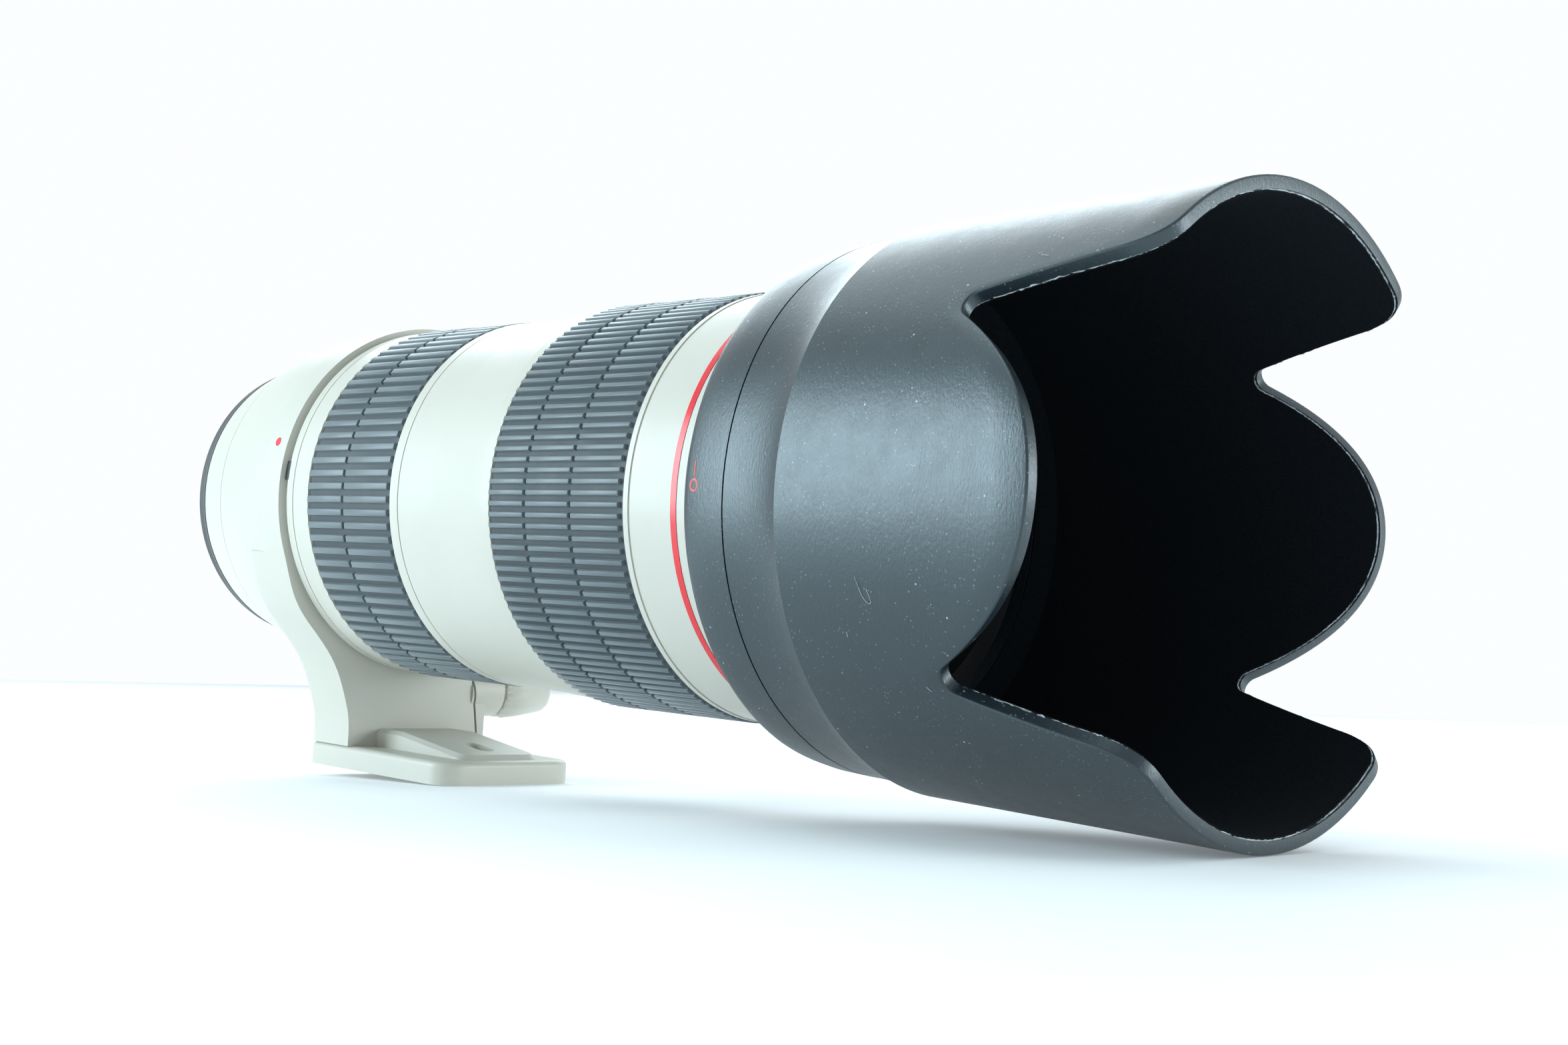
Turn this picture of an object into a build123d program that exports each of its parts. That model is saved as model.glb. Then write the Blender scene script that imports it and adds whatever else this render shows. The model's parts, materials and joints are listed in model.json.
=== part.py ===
from build123d import *
from math import cos, radians, sin
import os

# A white telephoto zoom lens with a petal hood and a tripod collar.
# Millimetres. The origin is the centre of the mounting flange's face, on the optical axis.
# The lens looks along -Y, +Z is up, and the switches are on the +X side.
# A station is a distance forward of the flange, so a station s lies at y = -s.

# ---- overall sizes -------------------------------------------------------------------------
lens_front = 197.0            # station of the filter thread's front rim
rear_barrel_front = 16.7      # stations along the barrel
collar_rear = 17.0
collar_front = 49.7
barrel_ring_rear = 51.2
zoom_rear = 60.0
zoom_front = 92.3
focus_rear = 129.4
focus_front = 169.8
hood_rear = 193.9             # station of the hood's widest rear edge
hood_front = 282.4

seal_r = 34.5                 # outer radii
rear_barrel_r = 34.8
collar_rear_r = 38.3
collar_mid_r = 41.3
collar_front_r = 42.2
barrel_ring_r = 41.0
zoom_grip_r = 41.4
mid_rear_r = 41.3
mid_front_r = 42.3
mid_band_r = 42.6
focus_grip_r = 43.1
front_lip_r = 42.8
front_barrel_r = 42.3
hood_rear_r = 49.4
hood_waist_r = 50.3
hood_step_r = 52.3
hood_front_r = 54.05

# ---- clearances and fits -------------------------------------------------------------------
seat_gap = 0.05               # radial gap between pieces fixed to each other
run_gap = 0.08                # radial gap of a turning fit
face_gap = 0.3                # gap between faces of pieces that move past each other

# ---- tubes ---------------------------------------------------------------------------------
seat_r = 36.8                 # outer radius of the main tube, which the collar turns on
tube_wall = 1.8
tail_r = 34.8                 # the main tube's tail inside the rear barrel
tail_rear = 8.0
front_tube_r = 39.0           # the main tube under the focus ring
shell_wall = 1.3
grip_skin = 1.0               # thickness of the rubber grips
land_length = 3.0             # the running lands inside the two rings
line_width = 0.35             # fine lines turned into the barrel
line_depth = 0.3

# ---- bayonet mount -------------------------------------------------------------------------
flange_r = 32.5
flange_thickness = 2.7
neck_r = 27.0
neck_wall = 2.4
neck_length = 4.9
neck_relief = 1.5             # the neck is slimmer behind the register, and carries the lugs
lug_gap = 0.5                 # the lugs stay inside the register's diameter
lug_rear = 2.3                # distance of the lugs behind the flange
lug_thickness = 1.9
lug_count = 3
lug_sweep = 50
mount_screw_count = 4
mount_screw_ring_r = 29.8
mount_screw_r = 0.8
mount_head_r = 1.6
mount_head_height = 1.2
contact_count = 9
contact_r = 0.7
contact_step = 7.0            # degrees between contacts

# ---- tripod collar and foot ----------------------------------------------------------------
foot_base = 64.0              # depth of the foot's sole below the optical axis
foot_thickness = 5.3
foot_front = 88.0
foot_half_width = 19.0
foot_corner_r = 6.0
foot_edge_round = 1.3
stem_rear = 35.0
stem_front = 49.7             # flush with the collar's front
flare_angle = 20.0            # how far below the horizontal the stem runs into the ring
ear_outer = 20.0              # the clamp ear's outer face
split_at = 16.0               # place of the clamp's split
split_width = 0.6
split_tilt = 9.0
under_ear = 0.6
pad_half_width = 11.0
pad_rear = 53.0
pad_front = 84.0
pad_height = 4.2              # the pad slopes down towards the front
pad_front_height = 1.0
pad_corner_r = 3.0
pad_bevel = 0.9
clamp_station = 44.0
clamp_depth = 45.5
clamp_screw_r = 2.0
knob_inner = 26.0
knob_outer = 42.0
knob_base_r = 7.0
knob_tip_r = 5.2
boss_gap = 0.5
screw_start = 4.0
boss_r = 6.4
bush_depth = 5.4
bush_large_at = 62.0
bush_large_thread_r = 3.97
bush_large_r = 6.5
bush_small_at = 77.0
bush_small_thread_r = 2.55
bush_small_r = 4.6
dot_station = 45.6
dot_angle = 15.0
dot_r = 1.0

# ---- window, scale and switches ------------------------------------------------------------
window_rear = 94.0
window_front = 108.4
window_half_angle = 16
window_thickness = 0.9
scale_r = 38.8
scale_wall = 0.8
panel_rear = 98.0
panel_front = 125.0
panel_half_height = 15.0
panel_face = 43.6
switch_pitch = 7.0
switch_length = 4.9
switch_height = 3.8
switch_travel = 3.5
switch_depth = 1.2
switch_proud = 1.2

# ---- front barrel, hood mount and filter thread --------------------------------------------
red_ring_rear = 182.6
red_ring_width = 1.6
red_ring_depth = 0.8
hood_mount_rear = 188.9
filter_r = 38.1
filter_depth = 5.5
groove_rear = 191.6           # the hood bayonet's groove
groove_width = 3.2
groove_depth = 1.4
hood_lug_count = 3
hood_lug_sweep = 30
hood_lug_gate = 36

# ---- hood ----------------------------------------------------------------------------------
hood_collar_rear = 189.2
hood_seam = 204.3
hood_step = 218.8
hood_wall = 2.3
hood_lip = 1.1                # thickness of the inner lip, which stops short of the edge
hood_lip_step = 0.8
liner_thickness = 0.4
liner_step = 2.2
valley_share = 0.5126         # depth of the valleys, as a share of the cone's length
tip_share = 0.3344            # how far the side petals' tips fall back, as a share of that depth
cut_angle = 38.0              # direction from which each petal edge is cut
hood_edge_r = 53.2

# ---- glass and moving groups ---------------------------------------------------------------
rear_glass_r = 16.0
stabilizer_glass_r = 18.0
stabilizer_travel = 1.0
iris_blade_count = 8
iris_blade_pitch = 0.5
iris_blade_thickness = 0.15
iris_pin_ring_r = 27.5
iris_pin_r = 0.6
iris_blade_inner_r = 18.5
iris_blade_outer_r = 25.0
iris_blade_sweep = 100
cam_wall = 1.4
cam_rear = 61.0
cam_front = 122.0
compensator_at = 64.0
compensator_glass_r = 22.0
variator_at = 82.0
variator_glass_r = 24.0
focus_group_at = 132.0
focus_glass_r = 31.0
front_glass_r = 36.9
front_glass_rise = 4.0
rear_glass_rise = 1.6
carried_glass_rise = 2.0
carrier_gap = 0.5


def section(outline):
    """Half section of a turned piece, from (radius, station) points."""
    with BuildSketch(Plane.XY) as face:
        with BuildLine():
            Polyline(*[(r, -s) for r, s in outline], close=True)
        make_face()
    return face.sketch


def band(inner, outer, rear, front):
    """Half section of a plain ring."""
    return section([(inner, rear), (outer, rear), (outer, front), (inner, front)])


def station(s):
    """Plane across the optical axis, looking forward, with X across and Z up."""
    return Plane.XZ.offset(s)


def around(r, angle):
    """Point in a station plane at a radius and an angle from +X towards +Z."""
    return (r * cos(radians(angle)), r * sin(radians(angle)))


def sector(inner, outer, start, sweep):
    """Outline of a slice of a ring, in a station plane."""
    with BuildSketch() as slice_face:
        with BuildLine():
            CenterArc((0, 0), outer, start, sweep)
            CenterArc((0, 0), inner, start, sweep)
            Line(around(inner, start), around(outer, start))
            Line(around(inner, start + sweep), around(outer, start + sweep))
        make_face()
    return slice_face.sketch


def dome_middle(r, edge, rise):
    """Point half way up a spherical face that rises from its edge to the optical axis."""
    ball = (r * r + rise * rise) / (2 * abs(rise))
    lift = (ball * ball - r * r / 4) ** 0.5 - (ball - abs(rise))
    return (r / 2, -edge - (lift if rise > 0 else -lift))


def save(piece, name):
    piece.label = name
    export_step(piece, f"parts/{name}.step")


os.makedirs("parts", exist_ok=True)

tube_bore = seat_r - tube_wall
front_tube_bore = front_tube_r - tube_wall
tail_bore = tail_r - tube_wall
shelf = flange_thickness + 2.5            # front of the rear barrel's inner flange
front_flange = focus_front + 2.4          # where the front barrel is bolted to the main tube
mid_rear = zoom_front + face_gap
mid_front = focus_rear - face_gap

# ---- bayonet mount -------------------------------------------------------------------------
with BuildPart() as mount_ring:
    revolve(section([
        (neck_r - neck_wall, -neck_length), (neck_r - neck_relief, -neck_length),
        (neck_r - neck_relief, -lug_rear), (neck_r, -lug_rear), (neck_r, 0),
        (flange_r, 0), (flange_r, flange_thickness), (neck_r - neck_wall, flange_thickness),
    ]), axis=Axis.Y)
    with BuildSketch(station(-lug_rear - lug_thickness)):
        for i in range(lug_count):
            add(sector(neck_r - neck_relief - 0.5, neck_r - lug_gap, i * 360 / lug_count + 65, lug_sweep))
    extrude(amount=lug_thickness)
    with Locations(station(0)):
        with PolarLocations(mount_screw_ring_r, mount_screw_count, start_angle=45):
            Cylinder(mount_screw_r + seat_gap, flange_thickness * 2 + 2, mode=Mode.SUBTRACT)
            Cylinder(mount_head_r + seat_gap, mount_head_height * 2, mode=Mode.SUBTRACT)
save(mount_ring.part, "mount_ring")

with BuildPart() as mount_screws:
    with BuildSketch(station(0.1)):
        with PolarLocations(mount_screw_ring_r, mount_screw_count, start_angle=45):
            Circle(mount_head_r)
    extrude(amount=mount_head_height - 0.1)
    with BuildSketch(station(mount_head_height)):
        with PolarLocations(mount_screw_ring_r, mount_screw_count, start_angle=45):
            Circle(mount_screw_r)
    extrude(amount=shelf - mount_head_height - 0.4)
    with BuildSketch(station(0.1)):
        with PolarLocations(mount_screw_ring_r, mount_screw_count, start_angle=45):
            Rectangle(1.6, 0.35)
            Rectangle(0.35, 1.6)
    extrude(amount=0.6, mode=Mode.SUBTRACT)
save(mount_screws.part, "mount_screws")

with BuildPart() as mount_seal:
    revolve(band(flange_r + seat_gap, seal_r, 0.1, flange_thickness), axis=Axis.Y)
save(mount_seal.part, "mount_seal")

block_r = neck_r - neck_wall - seat_gap
block_sweep = contact_step * (contact_count + 1)
with BuildPart() as contact_block:
    with BuildSketch(station(-neck_length + 1)):
        add(sector(block_r - 4.2, block_r, 270 - block_sweep / 2, block_sweep))
    extrude(amount=neck_length + 1)
    with BuildSketch(station(-neck_length + 1)):
        for i in range(contact_count):
            with Locations(around(block_r - 2.1, 270 + contact_step * (i - (contact_count - 1) / 2))):
                Circle(contact_r + seat_gap)
    extrude(amount=2.5, mode=Mode.SUBTRACT)
save(contact_block.part, "contact_block")

with BuildPart() as contact_pins:
    with BuildSketch(station(-neck_length + 0.6)):
        for i in range(contact_count):
            with Locations(around(block_r - 2.1, 270 + contact_step * (i - (contact_count - 1) / 2))):
                Circle(contact_r)
    extrude(amount=2.6)
save(contact_pins.part, "contact_pins")

# ---- fixed barrel --------------------------------------------------------------------------
with BuildPart() as rear_barrel:
    with BuildSketch(Plane.XY):
        with BuildLine():
            Polyline((rear_barrel_r, -flange_thickness), (neck_r - neck_wall, -flange_thickness),
                     (neck_r - neck_wall, -shelf), (tail_r + seat_gap - 2.6, -shelf),
                     (tail_r + seat_gap, -tail_rear + 0.1), (tail_r + seat_gap, -rear_barrel_front),
                     (collar_rear_r - 0.1, -rear_barrel_front))
            ThreePointArc((collar_rear_r - 0.1, -rear_barrel_front),
                          (rear_barrel_r + 1.75, -(flange_thickness + rear_barrel_front) / 2),
                          (rear_barrel_r, -flange_thickness))
        make_face()
    revolve(axis=Axis.Y)
    with BuildSketch(station(flange_thickness)):
        with PolarLocations(mount_screw_ring_r, mount_screw_count, start_angle=45):
            Circle(mount_screw_r + seat_gap)
    extrude(amount=shelf - flange_thickness - 0.2, mode=Mode.SUBTRACT)
save(rear_barrel.part, "rear_barrel")

key_station = (zoom_rear + zoom_front) / 2
key_width = 4.0
key_play = 0.4
zoom_sweep = 70
with BuildPart() as main_tube:
    revolve(section([
        (tail_bore, tail_rear), (tail_r, tail_rear), (tail_r, rear_barrel_front),
        (seat_r, rear_barrel_front), (seat_r, mid_front), (front_tube_r, mid_front),
        (front_tube_r, front_flange), (front_tube_bore, front_flange),
        (front_tube_bore, mid_front + tube_wall), (tube_bore, mid_front + tube_wall),
        (tube_bore, rear_barrel_front + 2), (tail_bore, rear_barrel_front + 2),
    ]), axis=Axis.Y)
    with BuildSketch(station(key_station - key_width / 2 - key_play)):
        add(sector(tube_bore - 1, seat_r + 1, -zoom_sweep - 6, zoom_sweep + 12))
    extrude(amount=key_width + 2 * key_play, mode=Mode.SUBTRACT)
save(main_tube.part, "main_tube")

with BuildPart() as barrel_ring:
    revolve(section([
        (seat_r + seat_gap, collar_front + face_gap), (barrel_ring_r - 1, collar_front + face_gap),
        (barrel_ring_r - 1, barrel_ring_rear), (barrel_ring_r, barrel_ring_rear),
        (barrel_ring_r, barrel_ring_rear + 2.4), (barrel_ring_r - line_depth, barrel_ring_rear + 2.4),
        (barrel_ring_r - line_depth, barrel_ring_rear + 2.4 + line_width),
        (barrel_ring_r, barrel_ring_rear + 2.4 + line_width), (barrel_ring_r, zoom_rear),
        (seat_r + seat_gap, zoom_rear),
    ]), axis=Axis.Y)
save(barrel_ring.part, "barrel_ring")

band_rear = focus_rear - 3.0
mid_outside = [
    (mid_rear_r, mid_rear), (mid_rear_r, zoom_front + 3.1),
    (mid_rear_r - line_depth, zoom_front + 3.1), (mid_rear_r - line_depth, zoom_front + 3.1 + line_width),
    (mid_rear_r, zoom_front + 3.1 + line_width), (mid_rear_r + 0.1, window_front),
    (mid_front_r, band_rear), (mid_band_r, band_rear), (mid_band_r, mid_front),
]
mid_bore = mid_rear_r - shell_wall
with BuildPart() as mid_barrel:
    revolve(section([(seat_r + seat_gap, mid_rear), *mid_outside, (seat_r + seat_gap, mid_front),
                     (seat_r + seat_gap, mid_front - 1.6), (mid_bore, mid_front - 1.6),
                     (mid_bore, mid_rear + 1), (seat_r + seat_gap, mid_rear + 1)]), axis=Axis.Y)
    with BuildSketch(station(window_rear)):
        add(sector(mid_bore - 1, mid_band_r + 1, 90 - window_half_angle, 2 * window_half_angle))
    extrude(amount=window_front - window_rear, mode=Mode.SUBTRACT)
save(mid_barrel.part, "mid_barrel")

with BuildPart() as scale_window:
    with BuildSketch(station(window_rear + seat_gap)):
        add(sector(mid_rear_r - 0.25 - window_thickness, mid_rear_r - 0.25,
                   90 - window_half_angle + 0.1, 2 * window_half_angle - 0.2))
    extrude(amount=window_front - window_rear - 2 * seat_gap)
save(scale_window.part, "scale_window")

# ---- switches on the barrel's left side ----------------------------------------------------
panel_middle = (panel_rear + panel_front) / 2
switch_slot = switch_length + switch_travel + 2 * face_gap
switch_rows = [switch_pitch * (1.5 - i) for i in range(4)]
panel_plane = Plane((panel_face, 0, 0), x_dir=(0, 1, 0), z_dir=(1, 0, 0))
with BuildPart() as switch_panel:
    with BuildSketch(panel_plane):
        with Locations((-panel_middle, 0)):
            RectangleRounded(panel_front - panel_rear, 2 * panel_half_height, 3)
    extrude(amount=-6)
    chamfer(faces().sort_by(Axis.X)[-1].edges(), 0.5)
    revolve(section([(0, mid_rear), *mid_outside, (0, mid_front)]), axis=Axis.Y, mode=Mode.SUBTRACT)
    with BuildSketch(panel_plane):
        for z in switch_rows:
            with Locations((-panel_middle, z)):
                Rectangle(switch_slot, switch_height + 2 * face_gap)
    extrude(amount=-switch_depth, mode=Mode.SUBTRACT)
save(switch_panel.part, "switch_panel")

switch_names = ["focus_mode_switch", "focus_range_switch", "stabilizer_switch", "stabilizer_mode_switch"]
for switch_name, z in zip(switch_names, switch_rows):
    with BuildPart() as switch:
        with BuildSketch(panel_plane.offset(face_gap - switch_depth)):
            with Locations((-panel_middle + switch_travel / 2, z)):
                Rectangle(switch_length, switch_height)
        extrude(amount=switch_depth - face_gap + switch_proud)
        chamfer(faces().sort_by(Axis.X)[-1].edges(), 0.4)
        with BuildSketch(panel_plane.offset(switch_proud)):
            with Locations((-panel_middle + switch_travel / 2, z)):
                with GridLocations(1.1, 0, 3, 1):
                    Rectangle(0.4, switch_height)
        extrude(amount=-0.35, mode=Mode.SUBTRACT)
    save(switch.part, switch_name)

# ---- front barrel, hood mount and front cell -----------------------------------------------
lip_front = focus_front + 1.6
red_front = red_ring_rear + red_ring_width
front_barrel_bore = front_barrel_r - 1.7
cell_r = front_barrel_bore - 0.1
with BuildPart() as front_barrel:
    revolve(section([
        (front_tube_r + seat_gap, focus_front + face_gap), (front_lip_r, focus_front + face_gap),
        (front_lip_r, lip_front), (front_lip_r - line_depth, lip_front),
        (front_lip_r - line_depth, lip_front + line_width), (front_lip_r - 0.15, lip_front + line_width),
        (front_barrel_r + 0.05, red_ring_rear), (front_barrel_r - red_ring_depth, red_ring_rear),
        (front_barrel_r - red_ring_depth, red_front), (front_barrel_r, red_front),
        (front_barrel_r, hood_mount_rear), (front_barrel_bore, hood_mount_rear),
        (front_barrel_bore, front_flange + 2), (front_tube_bore, front_flange + 2),
        (front_tube_bore, front_flange), (front_tube_r + seat_gap, front_flange),
    ]), axis=Axis.Y)
save(front_barrel.part, "front_barrel")

with BuildPart() as red_ring:
    revolve(band(front_barrel_r - red_ring_depth + seat_gap, front_barrel_r + 0.1,
                 red_ring_rear + seat_gap, red_front - seat_gap), axis=Axis.Y)
save(red_ring.part, "red_ring")

filter_rear = lens_front - filter_depth
with BuildPart() as hood_mount_ring:
    revolve(section([
        (front_barrel_bore, hood_mount_rear), (front_barrel_r, hood_mount_rear),
        (front_barrel_r, groove_rear), (front_barrel_r - groove_depth, groove_rear),
        (front_barrel_r - groove_depth, groove_rear + groove_width),
        (front_barrel_r, groove_rear + groove_width), (front_barrel_r, lens_front),
        (filter_r, lens_front), (filter_r, filter_rear), (front_barrel_bore, filter_rear),
    ]), axis=Axis.Y)
    with BuildSketch(station(groove_rear)):
        for i in range(hood_lug_count):
            gate = 90 + 60 + i * 360 / hood_lug_count - hood_lug_gate / 2
            add(sector(front_barrel_r - groove_depth, front_barrel_r + 1, gate, hood_lug_gate))
    extrude(amount=lens_front - groove_rear + 1, mode=Mode.SUBTRACT)
save(hood_mount_ring.part, "hood_mount_ring")

cell_rear = front_flange + 2
glass_rear = cell_rear + 4
glass_edge = glass_rear + 6
name_rear = glass_edge + 4.2
with BuildPart() as front_cell:
    revolve(section([
        (front_glass_r - 3, cell_rear), (cell_r, cell_rear), (cell_r, filter_rear - seat_gap),
        (front_glass_r + 0.15, filter_rear - seat_gap), (front_glass_r + 0.15, glass_rear),
        (front_glass_r - 3, glass_rear),
    ]), axis=Axis.Y)
save(front_cell.part, "front_cell")

with BuildPart() as front_glass:
    with BuildSketch(Plane.XY):
        with BuildLine():
            Polyline((0, -glass_edge - front_glass_rise), (0, -glass_rear), (front_glass_r, -glass_rear),
                     (front_glass_r, -glass_edge))
            ThreePointArc((front_glass_r, -glass_edge),
                          dome_middle(front_glass_r, glass_edge, front_glass_rise),
                          (0, -glass_edge - front_glass_rise))
        make_face()
    revolve(axis=Axis.Y)
save(front_glass.part, "front_glass")

with BuildPart() as name_ring:
    revolve(section([
        (front_glass_r - 2.4, name_rear), (front_glass_r + 0.1, name_rear),
        (front_glass_r + 0.1, filter_rear - 0.4), (front_glass_r - 1.4, filter_rear - 0.4),
    ]), axis=Axis.Y)
save(name_ring.part, "name_ring")

# ---- rear cell and rear glass --------------------------------------------------------------
with BuildPart() as rear_cell:
    revolve(section([
        (rear_glass_r + seat_gap, tail_rear), (tail_bore - seat_gap, tail_rear),
        (tail_bore - seat_gap, tail_rear + 3), (rear_glass_r + 4, tail_rear + 3),
        (rear_glass_r + 4, tail_rear + 12), (rear_glass_r + seat_gap, tail_rear + 12),
    ]), axis=Axis.Y)
save(rear_cell.part, "rear_cell")

rear_glass_edge = tail_rear + 3
with BuildPart() as rear_glass:
    with BuildSketch(Plane.XY):
        with BuildLine():
            Polyline((0, -rear_glass_edge + rear_glass_rise), (0, -rear_glass_edge - 6),
                     (rear_glass_r, -rear_glass_edge - 6), (rear_glass_r, -rear_glass_edge))
            ThreePointArc((rear_glass_r, -rear_glass_edge),
                          dome_middle(rear_glass_r, rear_glass_edge, -rear_glass_rise),
                          (0, -rear_glass_edge + rear_glass_rise))
        make_face()
    revolve(axis=Axis.Y)
save(rear_glass.part, "rear_glass")

board_station = tail_rear + 14
with BuildPart() as circuit_board:
    with BuildSketch(station(board_station)):
        add(sector(rear_glass_r + 5, tube_bore - 1, -220, 260))
    extrude(amount=1.2)
    with BuildSketch(station(board_station + 1.2)):
        for i in range(7):
            with Locations(Location(around(27, 30 - i * 34), 30 - i * 34)):
                Rectangle(6, 4)
    extrude(amount=1)
save(circuit_board.part, "circuit_board")

# ---- image stabilizer ----------------------------------------------------------------------
frame_rear = board_station + 4
frame_front = frame_rear + 14
frame_plate = 3.0
slide_play = 0.4
cross_thickness = 2.0
with BuildPart() as stabilizer_frame:
    revolve(section([
        (stabilizer_glass_r + 1.5, frame_rear), (tube_bore - seat_gap, frame_rear),
        (tube_bore - seat_gap, frame_front), (tube_bore - 4, frame_front),
        (tube_bore - 4, frame_rear + frame_plate), (stabilizer_glass_r + 1.5, frame_rear + frame_plate),
    ]), axis=Axis.Y)
save(stabilizer_frame.part, "stabilizer_frame")

cross_rear = frame_rear + frame_plate + slide_play
with BuildPart() as stabilizer_slide:
    revolve(band(stabilizer_glass_r + 2, tube_bore - 4 - stabilizer_travel - 1,
                 cross_rear, cross_rear + cross_thickness), axis=Axis.Y)
save(stabilizer_slide.part, "stabilizer_slide")

shift_rear = cross_rear + cross_thickness + slide_play
with BuildPart() as stabilizer_cell:
    revolve(band(stabilizer_glass_r + seat_gap, stabilizer_glass_r + 6, shift_rear, shift_rear + 7),
            axis=Axis.Y)
save(stabilizer_cell.part, "stabilizer_cell")

with BuildPart() as stabilizer_glass:
    revolve(band(0, stabilizer_glass_r, shift_rear + 1, shift_rear + 6), axis=Axis.Y)
save(stabilizer_glass.part, "stabilizer_glass")

# ---- iris ----------------------------------------------------------------------------------
iris_rear = frame_front + 2
iris_floor = iris_rear + 1.5
blade_base = iris_floor + 0.5
iris_pins_front = blade_base + iris_blade_count * iris_blade_pitch
iris_ring_rear = iris_pins_front + 0.6
iris_front = iris_ring_rear + 3
iris_rim_r = tube_bore - 4
with BuildPart() as iris_housing:
    revolve(section([
        (iris_blade_inner_r - 1, iris_rear), (tube_bore - seat_gap, iris_rear),
        (tube_bore - seat_gap, iris_front), (iris_rim_r, iris_front),
        (iris_rim_r, iris_floor), (iris_blade_inner_r - 1, iris_floor),
    ]), axis=Axis.Y)
    with BuildSketch(station(iris_floor)):
        with PolarLocations(iris_pin_ring_r, iris_blade_count):
            Circle(iris_pin_r)
    extrude(amount=iris_pins_front - iris_floor)
save(iris_housing.part, "iris_housing")

for i in range(iris_blade_count):
    hinge_angle = i * 360 / iris_blade_count
    with BuildPart() as blade:
        with BuildSketch(station(blade_base + i * iris_blade_pitch)):
            add(sector(iris_blade_inner_r, iris_blade_outer_r, hinge_angle, iris_blade_sweep))
            with Locations(around(iris_pin_ring_r - 1.2, hinge_angle)):
                Circle(3.0)
            with Locations(around(iris_pin_ring_r, hinge_angle)):
                Circle(iris_pin_r + run_gap, mode=Mode.SUBTRACT)
        extrude(amount=iris_blade_thickness)
    save(blade.part, f"iris_blade_{i + 1}")

with BuildPart() as iris_ring:
    revolve(band(iris_blade_outer_r, iris_rim_r - run_gap, iris_ring_rear, iris_ring_rear + 1.5),
            axis=Axis.Y)
save(iris_ring.part, "iris_ring")

# ---- zoom ring, cam tube and the two zoom carriers -----------------------------------------
zoom_sleeve_r = zoom_grip_r - grip_skin
land_r = seat_r + run_gap
with BuildPart() as zoom_sleeve:
    revolve(section([
        (land_r, zoom_rear + face_gap), (zoom_sleeve_r, zoom_rear + face_gap), (zoom_sleeve_r, zoom_front),
        (land_r, zoom_front), (land_r, zoom_front - land_length), (land_r + 1.6, zoom_front - land_length),
        (land_r + 1.6, zoom_rear + face_gap + land_length), (land_r, zoom_rear + face_gap + land_length),
    ]), axis=Axis.Y)
save(zoom_sleeve.part, "zoom_sleeve")

with BuildPart() as zoom_grip:
    revolve(band(zoom_sleeve_r, zoom_grip_r, zoom_rear + face_gap, zoom_front), axis=Axis.Y)
save(zoom_grip.part, "zoom_grip")

cam_r = tube_bore - run_gap
with BuildPart() as zoom_key:
    with BuildSketch(station(key_station - key_width / 2)):
        with Locations(((cam_r + land_r + 1.6) / 2, 0)):
            Rectangle(land_r + 1.6 - cam_r - 0.2, 5)
    extrude(amount=key_width)
save(zoom_key.part, "zoom_key")

with BuildPart() as cam_tube:
    revolve(band(cam_r - cam_wall, cam_r, cam_rear, cam_front), axis=Axis.Y)
save(cam_tube.part, "cam_tube")

carrier_r = cam_r - cam_wall - carrier_gap
for cell_name, glass_name, rear, glass_r, length in (
        ("compensator_cell", "compensator_glass", compensator_at, compensator_glass_r, 10),
        ("variator_cell", "variator_glass", variator_at, variator_glass_r, 12)):
    with BuildPart() as cell:
        revolve(band(glass_r + seat_gap, carrier_r, rear, rear + length), axis=Axis.Y)
    save(cell.part, cell_name)
    with BuildPart() as glass:
        with BuildSketch(Plane.XY):
            with BuildLine():
                Polyline((0, -rear - 4 + carried_glass_rise), (0, -rear - length + 1),
                         (glass_r, -rear - length + 1), (glass_r, -rear - 4))
                ThreePointArc((glass_r, -rear - 4), dome_middle(glass_r, rear + 4, -carried_glass_rise),
                              (0, -rear - 4 + carried_glass_rise))
            make_face()
        revolve(axis=Axis.Y)
    save(glass.part, glass_name)

# ---- focus ring, distance scale, motor and focusing carrier --------------------------------
focus_sleeve_r = focus_grip_r - grip_skin
focus_land_r = front_tube_r + run_gap
with BuildPart() as focus_sleeve:
    revolve(section([
        (focus_land_r, focus_rear), (focus_sleeve_r, focus_rear), (focus_sleeve_r, focus_front),
        (focus_land_r, focus_front), (focus_land_r, focus_front - land_length),
        (focus_land_r + 1.2, focus_front - land_length), (focus_land_r + 1.2, focus_rear + land_length),
        (focus_land_r, focus_rear + land_length),
    ]), axis=Axis.Y)
save(focus_sleeve.part, "focus_sleeve")

with BuildPart() as focus_grip:
    revolve(band(focus_sleeve_r, focus_grip_r, focus_rear, focus_front), axis=Axis.Y)
save(focus_grip.part, "focus_grip")

with BuildPart() as distance_scale:
    revolve(section([
        (scale_r - scale_wall, mid_rear + 1.4), (scale_r, mid_rear + 1.4),
        (scale_r, window_front + 3), (land_r, window_front + 3), (land_r, window_front + 1),
        (scale_r - scale_wall, window_front + 1),
    ]), axis=Axis.Y)
save(distance_scale.part, "distance_scale")

with BuildPart() as motor_stator:
    revolve(band(seat_r + seat_gap, mid_bore - 0.3, window_front + 4, band_rear - 4), axis=Axis.Y)
save(motor_stator.part, "motor_stator")

focus_carrier_r = front_tube_bore - carrier_gap
with BuildPart() as focus_cell:
    revolve(band(focus_glass_r + seat_gap, focus_carrier_r, focus_group_at, focus_group_at + 24),
            axis=Axis.Y)
save(focus_cell.part, "focus_cell")

with BuildPart() as focus_glass:
    revolve(band(0, focus_glass_r, focus_group_at + 6, focus_group_at + 18), axis=Axis.Y)
save(focus_glass.part, "focus_glass")

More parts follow.
